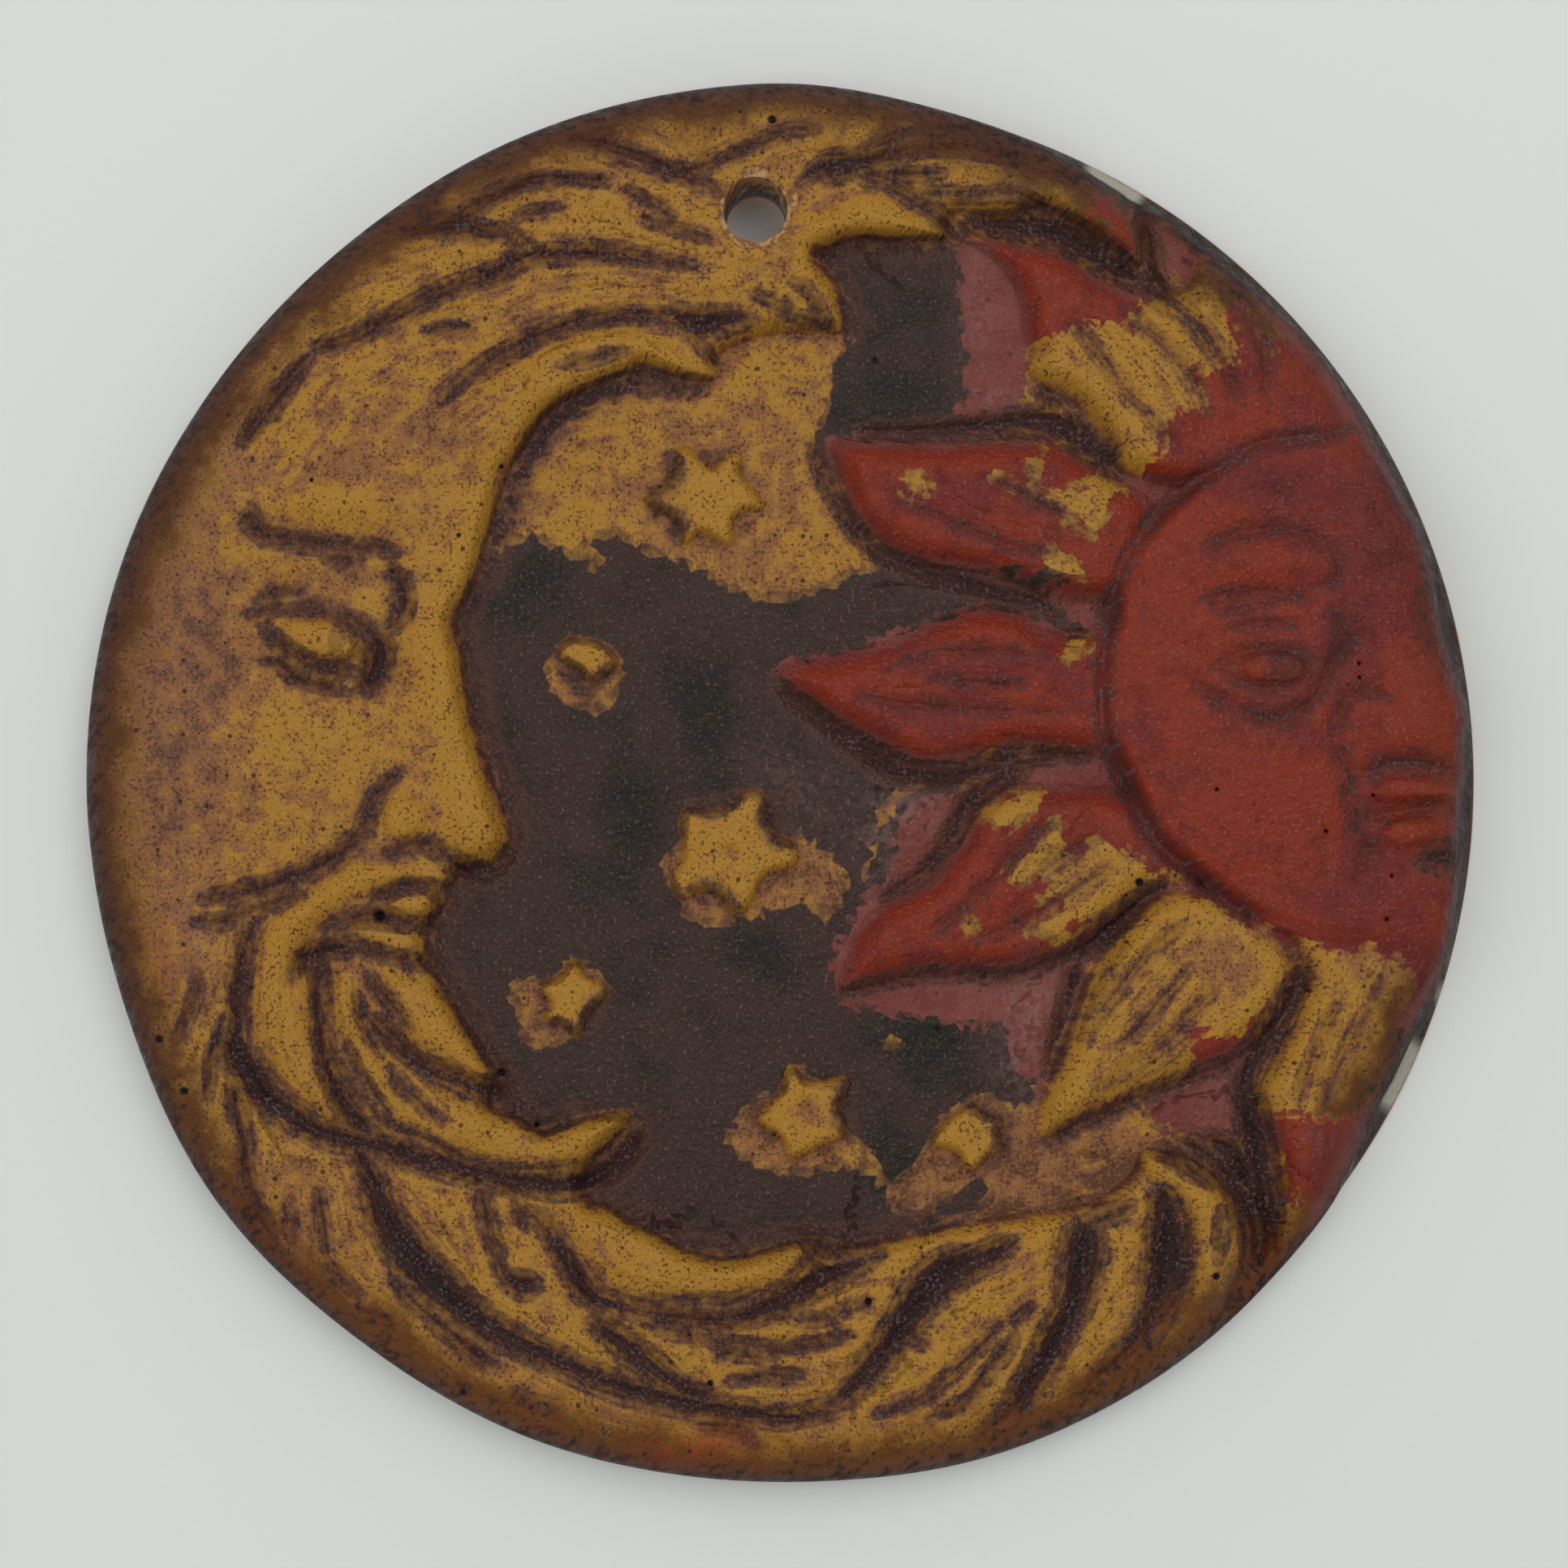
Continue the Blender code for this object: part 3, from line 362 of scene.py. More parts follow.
MOON_STROKES = [
    [(-75, 38.6, 0.4), (-75.2, 36.6, 1), (-73.6, 35, 1.1), (-70, 33.9, 0.9), (-62, 33, 0.8), (-58, 32.8, 0.7),
     (-54.5, 32.2, 0.5)],
    [(-55.4, 30.4, 0.6), (-54.6, 28.5, 1.2), (-53.9, 24.6, 1.3), (-56, 21, 0.8)],
    [(-74, 25.3, 0.4), (-71.7, 26.5, 0.6), (-67.9, 26.6, 0.4)],
    [(-75.8, 23.4, 0.5), (-69, 24.7, 0.7), (-65.4, 24.5, 0.7), (-59.5, 22, 0.8), (-57, 20.5, 1)],
    [(-73.8, 22.6, 0.6), (-71.9, 20.2, 0.7), (-66, 16.5, 0.6), (-60, 15.2, 0.7)],
    [(-58, 21.3, 0.9), (-57, 19.2, 1.5), (-57.2, 16.6, 1.8), (-58.4, 14.2, 1.5), (-60.3, 12.8, 0.7)],
    [(-73.4, 17, 0.3), (-70.9, 16.2, 0.5), (-67.9, 14.2, 0.6), (-62, 12.6, 0.6)],
    [(-64.8, 31.6, 0.5), (-62.4, 31.2, 0.8), (-59.8, 31.2, 0.4)],
    [(-54.4, 1.6, 0.5), (-56.6, -0.8, 0.8), (-58.3, -3.6, 0.9), (-60, -9, 0.9)],
    [(-59.5, -7, 1.1), (-62, -9.6, 1.1), (-66, -12, 1.1), (-72.3, -14.6, 1.1), (-77, -15.5, 1.1),
     (-82, -16.4, 0.6)],
    [(-83, -19.5, 0.5), (-78, -19.3, 0.6), (-68, -15.6, 0.5)],
    [(-56, -10, 0.5), (-50.5, -8.8, 0.9), (-45.5, -12, 1.2), (-42, -13.1, 1), (-39.4, -11.6, 0.8),
     (-38, -8.5, 0.7)],
    [(-58, -16.9, 0.5), (-55, -15.1, 0.6), (-52, -14.5, 0.5), (-49.3, -15, 0.7), (-47.8, -17, 1)],
    [(-65, -20.6, 0.8), (-60, -19, 0.9), (-57, -18.8, 1.2), (-54, -19.6, 0.7), (-51, -20.2, 0.6),
     (-48.3, -20.6, 0.9)],
    [(-62, -22, 0.7), (-59.5, -23.3, 0.7), (-56, -24.4, 0.7), (-49, -25.8, 0.8)],
    [(-60, -23.6, 0.8), (-64, -23.4, 1.3), (-67.5, -25, 1.1), (-69.3, -27.5, 0.5)],
]  # fmt: skip
# The ring of the iris and the dot in it.
MOON_IRIS = [
    [(-63.2, 21.4, 0.3), (-63.6, 20, 0.5), (-63.4, 18.4, 0.5), (-62.4, 17.6, 0.3)],
    [(-62.6, 20.4, 0.3), (-61.2, 20.6, 0.3), (-60, 19.8, 0.4), (-59.9, 18.4, 0.4), (-61, 17.5, 0.3)],
]
SOFT_FORMS = [
    [(-56, -17.9, 0.5), (-53.5, -16.9, 1.4), (-50.8, -16.9, 1.6), (-48.8, -18, 0.8)],
    [(-60.2, -20.8, 0.5), (-57.5, -21.2, 1.2), (-54, -22.3, 1.6), (-51.3, -23.1, 1.4), (-49.9, -23.5, 0.7)],
    [(-70.5, 21.6, 0.8), (-67.5, 20.6, 2), (-64, 19.9, 2.4), (-61, 19.2, 1.9)],
    [(-72.6, 19, 0.3), (-69.2, 16.4, 0.7), (-66, 14.9, 0.8), (-62.3, 14.5, 0.6)],
    [(-55.5, -6.5, 1.5), (-53.5, -5, 2.6), (-52, -3.5, 2)],
]  # fmt: skip


def swollen(u, v, swells):
    """The soft mounds and hollows added together, as shares of a face's depth."""
    total = np.zeros(u.shape)
    for at, radii, turn, share in swells:
        c, s = math.cos(math.radians(turn)), math.sin(math.radians(turn))
        du, dv = u - at[0], v - at[1]
        total += share * np.exp(-(((du * c + dv * s) / radii[0]) ** 2) - ((dv * c - du * s) / radii[1]) ** 2)
    return total


def moon_face(u, v, height, moon):
    """The height with the moon's features."""
    height = height + MOON_FACE_DEPTH * swollen(u, v, MOON_SWELLS) * ease(moon / 3.5)
    height = height + SOFT_RISE * ease(inside_strokes(u, v, SOFT_FORMS) / 1.6 + 0.5)
    height = grooved(height, inside_strokes(u, v, MOON_STROKES), slope=0.0007, sag=0.0004, beside=1.2)
    return grooved(height, inside_strokes(u, v, MOON_IRIS, 1), depth=0.0004, slope=0.0009, sag=0)


# The sun and its rays. Flame-shaped tongues are modelled flat on the sky with a few drawn lines
# each; the sun's face lies over their roots as a low dome, and its profile is the plate's edge.
RAY_HEIGHT = 0.0112
RAY_EDGE = 4.5
SUN_HEIGHT = 0.0116
SUN_EDGE = 3
SUN_FACE_DEPTH = 0.0019
SUN_SOFT_RISE = 0.0006
RAYS = [
    [(24.5, 76), (27.5, 77), (36, 75.6), (40, 74), (50, 68.8), (56, 70), (60, 74), (80, 78), (92, 56), (80, 47),
     (60, 41), (47, 43.5), (45.5, 47), (42, 51.5), (39, 54), (35.5, 55.5), (33.5, 58), (34, 60.5), (33, 63),
     (32, 69), (28.5, 73.5)],
    [(6.3, 47.5), (6.5, 45), (9, 37), (11, 35), (17, 31), (20, 30.3), (28, 29), (33, 27.5), (38, 25.5), (50, 26),
     (52, 38), (46.5, 43), (42, 45.5), (38, 48), (34, 48.7), (26, 48), (20, 48), (10, 48.4)],
    [(-1, 15.3), (0, 17), (8, 18.3), (20, 22.3), (24, 24), (28, 24.9), (33, 24), (38, 21.3), (50, 22), (50, 4),
     (41, 4), (33, 4.8), (26, 3), (18, 2.5), (9, 7), (3, 11), (0, 12.7)],
    [(7.5, -29.5), (7.8, -26), (8.5, -22.5), (10, -20), (13, -17), (19, -14.2), (23.5, -9.3), (26.5, -3.3),
     (31, -0.2), (37, 0), (50, -2), (58, -14), (51, -16), (42.5, -22.5), (35, -26.2), (29, -27), (21, -27),
     (14, -28)],
    [(35.5, -44.5), (39, -36), (43.3, -25), (50, -17), (56, -14), (64, -16), (72, -24), (71, -31), (67.5, -35),
     (62, -39.3), (50, -43.8), (38.5, -49.3), (35, -49.5)],
    [(65, -18), (88, -20), (104, -30), (98, -50), (78, -76), (69, -67), (68.8, -60), (68.5, -52), (66.3, -45.7),
     (65.5, -44), (66.5, -41.5), (69.5, -36), (71.5, -31), (72, -26)],
]  # fmt: skip
SUN = [
    (76, 49.4), (68, 48.2), (63, 46.3), (57, 42.6), (51, 37.3), (47.3, 31.5), (45.3, 25), (44.3, 14), (45, 6),
    (50.5, -6.5), (55.5, -11.8), (65, -19.2), (72, -22), (80, -23), (88, -25), (96, -26), (104, -20), (110, 0),
    (108, 30), (99, 47), (88, 54),
]  # fmt: skip
RAY_STROKES = [
    [(40.2, 64, 0.5), (42, 62.5, 0.7), (48, 54.3, 0.6), (54.6, 47, 0.3)],
    [(47.3, 66.6, 0.5), (50, 64, 0.7), (53, 61.5, 0.7), (57, 56.5, 0.7), (59.3, 52, 0.3)],
    [(50, 69.5, 1.2), (53, 68, 1.3), (58, 63.5, 1.1), (61.5, 58.5, 0.9), (62.5, 56, 0.9), (64.3, 53.3, 0.5)],
    [(61.5, 70, 0.9), (63, 68, 1), (65.5, 63.5, 0.7), (67.3, 59, 0.9), (67.5, 53.5, 0.5)],
    [(28, 42.6, 0.3), (37, 38.5, 0.4), (40, 37.3, 0.3)],
    [(16, 39, 0.2), (20, 38, 0.4), (24, 36, 0.4), (32, 33, 0.4), (36, 32.5, 0.2)],
    [(15, 16.2, 0.2), (20.5, 18.2, 0.7), (23, 18.4, 0.6), (31, 18.4, 0.5), (36, 17.6, 0.3)],
    [(21, 14.6, 0.2), (29, 13.8, 0.5), (33, 13.8, 0.3)],
    [(11, 12, 0.15), (18, 10.9, 0.5), (38, 9.6, 0.3)],
    [(20.5, -21, 0.2), (23, -19.3, 0.4), (30.5, -12, 0.55), (32.5, -9.5, 0.6), (37, -5.5, 0.3)],
    [(27, -22, 0.3), (32, -20, 0.6), (38, -16.8, 0.6), (45, -12.3, 0.25)],
    [(36, -12, 0.3), (40, -9.3, 0.5), (43.5, -7.7, 0.2)],
    [(42.5, -36.3, 0.3), (43.3, -34, 0.6), (46.3, -29.5, 0.8), (52.5, -22.5, 0.6), (56, -19.8, 0.3)],
    [(41, -35.5, 0.2), (43.5, -28.5, 0.3), (47.5, -22.8, 0.2)],
    [(47, -36.5, 1), (50, -34, 0.5), (56.5, -26, 0.25)],
    [(44.7, -42.5, 0.4), (52, -37.2, 0.8), (60, -29.6, 0.4)],
    [(48, -41, 0.8), (51, -39.8, 0.6), (54, -38, 0.4), (55.5, -36.5, 0.3)],
    [(77.3, -31.3, 0.5), (75.3, -35.5, 0.75), (72.3, -43, 0.7), (71.8, -44.5, 0.4)],
    [(81.3, -32, 0.4), (78.8, -36.5, 0.6), (74.8, -46, 0.6)],
    [(83, -27.5, 0.3), (82, -30, 0.3)],
]  # fmt: skip
# Dark hollows between the rays and beside them, painted with the dark wash and with painted shade at the rays' feet.
RAY_HOLLOWS = [
    [(24.5, 78, 1.1), (28, 78.3, 1.2), (36, 77.8, 2.2), (40, 76.5, 2.3), (44, 73.8, 2.2), (47.5, 71.4, 1.6),
     (50.5, 70, 1.2)],
    [(10, 49.3, 0.5), (20, 49.4, 1), (30, 50.3, 1.4), (38, 50.3, 2.1), (45, 44.9, 1.3), (46.6, 43, 0.5)],
    [(34.8, 54.6, 0.4), (37.5, 53.2, 0.7), (40, 51.4, 0.6)],
    [(4, 47.5, 0.5), (4.8, 44, 0.8), (10.5, 34.3, 0.9), (18, 29.8, 1), (28, 27, 1.3), (33, 25.9, 0.9),
     (36, 24.6, 0.7), (38.5, 22.6, 0.5)],
    [(-1.6, 14, 0.4), (0.5, 11.6, 0.7), (12, 3.8, 1.6), (16, 1.6, 1.6), (22, 0.6, 1.5), (27, 1.6, 1.3),
     (31, 3, 1), (36, 3.6, 0.7), (42, 3.6, 0.4)],
    [(13.5, -16.3, 0.5), (19, -12.8, 0.9), (21.5, -10, 1.1), (24.8, -4, 1.3), (27, -1.5, 1.3), (30, 0.5, 1.2),
     (34, 1.8, 0.8)],
    [(8, -29.5, 0.4), (17, -27.3, 0.6), (25, -26.9, 0.6), (32, -26.9, 0.6), (40.5, -23.8, 1.1), (44.5, -21, 1.6),
     (51, -15.5, 0.8), (52.5, -14.8, 0.3)],
    [(40.5, -25.5, 1.8), (40.2, -28.5, 1.4), (39.2, -31.5, 1), (38.3, -35, 1.2), (36.5, -41, 0.6)],
    [(36.5, -50.5, 0.5), (41, -47.9, 0.6), (44, -46.9, 0.6), (50, -44.1, 0.6), (62, -39.6, 0.8), (67.5, -35.3, 1)],
    [(71.5, -26.5, 0.8), (71, -29, 1.2), (65.5, -39, 1.8), (64.5, -43, 1.8), (65.3, -47, 2.2), (66.5, -58, 2.6),
     (67, -63, 2), (66, -67.5, 1.2)],
    [(57.5, -49.6, 0.4), (61, -51, 1.6), (63.5, -53.6, 2.4), (65, -57, 2.5)],
]  # fmt: skip
SUN_RING = [
    (79, 49.5, 0.8), (76, 48.9, 1.1), (68, 47.8, 1), (65, 47, 0.8), (63, 45.5, 0.8), (54, 39.5, 0.8),
    (48.5, 33, 0.8), (46.3, 28, 0.8), (45, 22, 0.9), (44.3, 10, 0.9), (46, 3, 1), (47.5, 0, 1.1),
    (50.5, -6.5, 1.2), (55.5, -11.8, 0.9), (65, -19.2, 0.4),
]  # fmt: skip
SUN_SWELLS = [
    ((66, 10), (26, 30), 0, 0.5),
    ((68, 31.2), (9, 2.8), -3, 0.4),
    ((69, 16.2), (5, 2.2), 0, 0.4),
    ((84, 30), (4, 12), 12, 0.3),
    ((89, 8.5), (5.5, 6), 0, 0.6),
    ((81.5, 6), (3, 4.5), 0, 0.25),
    ((87.5, -1), (7, 1.6), -3, 0.35),
    ((88, -7), (5.5, 1.9), 0, 0.4),
    ((84, -17), (8, 5), 0, 0.35),
    ((66, -3), (9, 8), 0, 0.2),
]
SUN_STROKES = [
    [(90.3, 29, 0.8), (89.6, 25, 1), (89.8, 21.5, 1), (91, 18, 0.8), (92.8, 15.2, 0.6), (94.5, 13.3, 0.5)],
    [(58.5, 33, 0.5), (61, 34.2, 0.9), (67, 35.5, 0.8), (70, 35.6, 0.7), (73, 34.8, 0.7), (75.5, 33.5, 0.7),
     (77.3, 31.5, 0.7), (77.5, 29, 0.5), (76, 27.8, 0.4), (74, 27.3, 0.3)],
    [(58.5, 25.5, 0.6), (61, 26, 1), (64, 26.3, 1), (67, 26.7, 0.7), (73, 25.8, 0.4)],
    [(60, 24, 0.3), (63, 24.2, 0.4), (66, 24.9, 0.3), (68.5, 25, 0.2)],
    [(62, 21.5, 0.3), (68, 22.4, 0.5), (71, 22, 0.4)],
    [(60, 16.3, 0.5), (64.5, 18.4, 0.7), (69.5, 18.7, 0.7), (72, 17.8, 0.7), (73.5, 16.5, 0.7), (74.2, 15, 0.5)],
    [(60, 15.9, 0.4), (64, 14, 0.5), (66.5, 13.3, 0.5), (71.5, 13.3, 0.3)],
    [(57.5, 13.5, 0.6), (66, 9.3, 1.1), (69, 9, 1.1), (72, 10.3, 1), (74.5, 12.3, 0.9), (77, 17.5, 1),
     (78.5, 19.5, 1), (76.5, 24, 0.4)],
    [(84.5, 11.5, 0.4), (82.5, 12.7, 0.7), (80.5, 12.7, 0.8), (78.7, 11.5, 0.8), (77.5, 9.5, 0.9), (77, 7, 0.9),
     (77.3, 4.5, 0.9), (79.3, 0.5, 1.2), (79, -2, 1.1), (80.3, -7, 0.6), (82.8, -11.5, 0.3)],
    [(80, 1.2, 1), (82, 1.6, 1), (84, 2.4, 1.2), (86.5, 2.9, 1.4), (89, 2.8, 1.5), (91.5, 2, 1.6), (94, 1.5, 1.9)],
    [(80.5, -5.2, 0.7), (89, -3.6, 0.7), (94.3, -3.2, 0.9)],
    [(88.3, -11, 0.9), (93, -10.3, 2.2), (94.5, -10, 2.4)],
]  # fmt: skip
SUN_IRIS = [
    [(69.4, 18, 0.2), (68.7, 17, 0.35), (68.7, 15.4, 0.35), (69.6, 14.3, 0.2)],
    [(71.4, 17.8, 0.2), (72.2, 16.6, 0.3), (72, 15.2, 0.3), (71, 14.4, 0.2)],
]
SUN_SOFT_FORMS = [
    [(64, 16, 1), (67, 16.3, 1.7), (70, 16.2, 1.7), (72.4, 15.6, 0.9)],
    [(82, -1.6, 0.8), (86, -1, 1.4), (90, -0.9, 1.2), (93.5, -1.9, 0.6)],
    [(83.5, -7, 0.6), (87, -7, 1.8), (91, -6.4, 1.5)],
]


def rays(u, v, height):
    """The height with the rays, their drawn lines and the hollows between them."""
    for ray in RAYS:
        height = raised(height, inside_outline(u, v, ray), RAY_HEIGHT, RAY_EDGE)
    height = grooved(height, inside_strokes(u, v, RAY_HOLLOWS), depth=0.0014, sag=0.0003, beside=1.3)
    return grooved(height, inside_strokes(u, v, RAY_STROKES), depth=0.001, slope=0.0006, sag=0.0004, beside=1.4)


def sun_face(u, v, height):
    """The height with the sun's dome and features."""
    sun = inside_outline(u, v, SUN)
    height = raised(height, sun, SUN_HEIGHT + SUN_FACE_DEPTH * swollen(u, v, SUN_SWELLS), SUN_EDGE)
    height = grooved(height, inside_strokes(u, v, [SUN_RING]) + 0.3, depth=0.001, slope=0.0006, sag=0.0004)
    height = height + SUN_SOFT_RISE * ease(inside_strokes(u, v, SUN_SOFT_FORMS) / 1.4 + 0.5)
    height = grooved(height, inside_strokes(u, v, SUN_STROKES), depth=0.001, slope=0.0005, sag=0.0004, beside=1.3)
    return grooved(height, inside_strokes(u, v, SUN_IRIS, 1), depth=0.0003, slope=0.0007, sag=0)


# The stars. Small pads of clay pressed onto the sky, with soft points; one is broken down to a stub.
STAR_RISE = 0.0018
STAR_EDGE = 1.5
STAR_MARGIN = 0.5
STARS = [
    [(-20, 39.7), (-17, 41.7), (-15.6, 44), (-14.5, 47), (-10.6, 44), (-8.6, 45.4), (-6.6, 45.6), (-6.8, 43.4),
     (-3.5, 39), (-5.6, 38.4), (-7.6, 36.9), (-8, 33.5), (-12, 35.3), (-14.2, 33.6), (-14.8, 36), (-16.8, 38)],
    [(-30.2, 20), (-28.5, 19.7), (-25.5, 19), (-24, 16.5), (-27.5, 14.3), (-28.8, 16), (-31, 17), (-31.8, 18.7)],
    [(-13.1, -3.8), (-10.5, -4), (-7.6, -3.2), (-6.3, -1.9), (-4.2, -1.3), (-3.1, -2.9), (-2.9, -5.1),
     (-1.3, -7.6), (1, -9.3), (1, -11.4), (-2.5, -12.6), (-3.8, -13.9), (-5.5, -17.3), (-7.6, -18.1), (-9, -16),
     (-11.4, -15), (-14.7, -16), (-15.7, -14.3), (-15.4, -12.5), (-14.3, -10.1), (-14.5, -5.1)],
    [(-29.7, -25.3), (-28.4, -27.2), (-25.3, -29.1), (-28, -32.6), (-29.4, -35.4), (-31.2, -33.7), (-33.6, -33),
     (-33, -31.2), (-34.2, -28.6), (-31.8, -27.5)],
    [(0.8, -40.3), (2.9, -42.1), (8.4, -41.4), (8.4, -43.4), (7.2, -45.5), (8, -48), (7.6, -49.7), (5.5, -50.5),
     (2.1, -52.2), (0.4, -52.2), (-0.8, -49.7), (-3.8, -47.2), (-0.8, -43.8), (-0.4, -41.3)],
    [(25.7, -45.5), (27.4, -46.7), (29.9, -47.6), (29.5, -49.7), (30.3, -51.5), (28.2, -52.2), (26.5, -53.9),
     (25.3, -53.9), (24, -51.8), (20.6, -50.5), (21.9, -48.4)],
]  # fmt: skip
STAR_DENTS = [((-7.9, -9.7), (1.4, 0.8), 20, -0.3), ((3, -46), (1.3, 1.9), 0, -0.3)]


def stars(u, v, height):
    """The height with the stars."""
    for star in STARS:
        height = raised(height, inside_outline(u, v, star) + STAR_MARGIN, SKY_HEIGHT + STAR_RISE, STAR_EDGE)
    return height + STAR_RISE * swollen(u, v, STAR_DENTS)


# The nail hole. It was pushed through the soft clay near the top with a tapering peg, and the
# paint and clay have chipped away round its front edge.
HOLE_AT = (-4.4, 80.1)
HOLE_RADIUS = 0.0037
HOLE_BACK_RADIUS = 0.0034
HOLE_CENTRE = (-0.0035, 0.0643)
HOLE_SIDES = 64
PEG_PAST_CLAY = 0.004
CHIPPED_AT = 4.6
CHIP_DEPTH = 0.0005
HOLE_CHIPS = [((-4.3, 85.4), (2.3, 1.2), 5, 1), ((0.9, 81.8), (0.9, 1.9), 0, 1), ((1.2, 77.6), (1.6, 0.7), 20, 0.8)]


def chipped(u, v):
    """1 where the clay is chipped round the hole, 0 away from it."""
    from_edge = np.hypot(u - HOLE_AT[0], v - HOLE_AT[1]) - CHIPPED_AT
    ring = ease(1.25 + 0.45 * ripple(u / 1.1, v / 1.1, 5) - np.abs(from_edge) / 0.7)
    return np.maximum(ring, ease(1.6 * swollen(u, v, HOLE_CHIPS) - 0.3))


def shaped(name, bm):
    """A new object in the scene, with the shape that was built."""
    mesh = bpy.data.meshes.new(name)
    bm.to_mesh(mesh)
    bm.free()
    made = bpy.data.objects.new(name, mesh)
    bpy.context.scene.collection.objects.link(made)
    return made


bm = bmesh.new()
taper = (HOLE_RADIUS - HOLE_BACK_RADIUS) / TOP_HEIGHT * PEG_PAST_CLAY
bmesh.ops.create_cone(
    bm, cap_ends=True, segments=HOLE_SIDES, radius1=HOLE_BACK_RADIUS - taper, radius2=HOLE_RADIUS + taper,
    depth=TOP_HEIGHT + 2 * PEG_PAST_CLAY,
)  # fmt: skip
lay = Matrix.Translation((HOLE_CENTRE[0], -TOP_HEIGHT / 2, HOLE_CENTRE[1])) @ Matrix.Rotation(math.radians(90), 4, "X")
bmesh.ops.transform(bm, matrix=lay, verts=bm.verts)
peg = shaped("peg", bm)

# The clay. The whole plate is one pressing of gritty red-brown clay, about 13 mm thick with a flat
# back; its front was dried, smoothed by hand here and there, and fired before it was painted.
GRID = 620
FRONT_TRIANGLES = 176000
BACK_INSET = 0.0006
BACK_ROUNDING = 0.0008
UNEVENNESS = 0.00013
PIT_DEPTH = 0.0006
# Pits and pinholes too deep for the paint to fill, each as (u, v, radius).
PITS = [
    (-46, 34.7, 0.45), (-66.6, 42.4, 0.4), (-40, 44.3, 0.45), (12.5, 59.2, 0.6), (49.5, -14, 0.8), (21.3, -34.6, 0.5),
    (80.3, 16.7, 0.4), (80.4, 14.7, 0.4), (75.7, -6.8, 0.45), (84.9, -13.1, 0.4), (82.3, -1.8, 0.4), (84.2, -19.2, 0.4),
    (60.4, -1, 0.4), (-40, -40.7, 0.8), (-57, -18.7, 1), (-88, -36, 0.8), (-84.5, -43.3, 0.8), (60.3, -69.3, 0.7),
    (11.5, -72.8, 0.7), (-10.7, -84.3, 0.6), (-45.3, -85.5, 0.6), (-35, -48, 0.5), (-2, 93, 0.8),
]  # fmt: skip


def pitted(u, v):
    """1 inside the pits, 0 outside them."""
    depth = np.zeros(u.shape)
    for pu, pv, radius in PITS:
        depth = np.maximum(depth, 1 - np.hypot(u - pu, v - pv) / radius)
    return depth


def carving(u, v):
    """The front's height over the back."""
    height = np.full(u.shape, SKY_HEIGHT)
    height = rays(u, v, stars(u, v, height))
    height, moon = hair(u, v, height)
    height = sun_face(u, v, moon_face(u, v, height, moon))
    height = height + UNEVENNESS * (ripple(u / 5, v / 5, 1) + 0.6 * ripple(u / 2.1, v / 2.1, 2))
    height = height - CHIP_DEPTH * chipped(u, v) - PIT_DEPTH * pitted(u, v)
    return rounded_off(np.minimum(height, TOP_HEIGHT), u, v)


def plan_of(points):
    """The plan's u and v at points of the front."""
    scale = UNIT * (1 + (TOP_HEIGHT + points[:, 1]) / EYE_DISTANCE)
    return points[:, 0] / scale, points[:, 2] / scale


def points_of(mesh):
    """A mesh's points as rows of x, y and z."""
    flat = np.empty(len(mesh.vertices) * 3)
    mesh.vertices.foreach_get("co", flat)
    return flat.reshape(-1, 3)


def modified(obj):
    """The mesh that an object's modifiers leave; the object itself goes."""
    mesh = bpy.data.meshes.new_from_object(obj.evaluated_get(bpy.context.evaluated_depsgraph_get()))
    bpy.data.objects.remove(obj)
    return mesh


bm = bmesh.new()
bmesh.ops.create_grid(bm, x_segments=GRID, y_segments=GRID, size=1)
sheet = shaped("sheet", bm)
x, y = points_of(sheet.data).T[:2]
u, v = x * np.sqrt(1 - y * y / 2), y * np.sqrt(1 - x * x / 2)
reach = rim_radius(u, v)
u, v = u * reach, v * reach
height = carving(u, v)
scale = UNIT * (1 + (TOP_HEIGHT - height) / EYE_DISTANCE)
sheet.data.vertices.foreach_set("co", np.stack([u * scale, -height, v * scale], axis=1).ravel())
thin = sheet.modifiers.new("Thin", "DECIMATE")
thin.ratio = FRONT_TRIANGLES / (2 * GRID * GRID)

bm = bmesh.new()
bm.from_mesh(modified(sheet))
rim = [edge for edge in bm.edges if edge.is_boundary]
back_radius = (high.z - low.z) / 2 - BACK_INSET
for depth, radius in ((BACK_ROUNDING, back_radius), (0, back_radius - BACK_ROUNDING)):
    made = bmesh.ops.extrude_edge_only(bm, edges=rim)["geom"]
    rim = [item for item in made if isinstance(item, bmesh.types.BMEdge)]
    for vert in (item for item in made if isinstance(item, bmesh.types.BMVert)):
        across = radius / math.hypot(vert.co.x, vert.co.z)
        vert.co = (vert.co.x * across, -depth, vert.co.z * across)
bmesh.ops.contextual_create(bm, geom=rim)
bmesh.ops.triangulate(bm, faces=[face for face in bm.faces if len(face.verts) > 3])
bmesh.ops.recalc_face_normals(bm, faces=bm.faces)
sheet = shaped("sheet", bm)
cut = sheet.modifiers.new("Nail hole", "BOOLEAN")
cut.operation = "DIFFERENCE"
cut.solver = "EXACT"
cut.object = peg
mesh = modified(sheet)
bpy.data.objects.remove(peg)
mesh.shade_smooth()
mesh.set_sharp_from_angle(angle=math.radians(55))
mesh.name = "clay_plate"
plate = bpy.data.objects.new("clay_plate", mesh)
bpy.context.scene.collection.objects.link(plate)

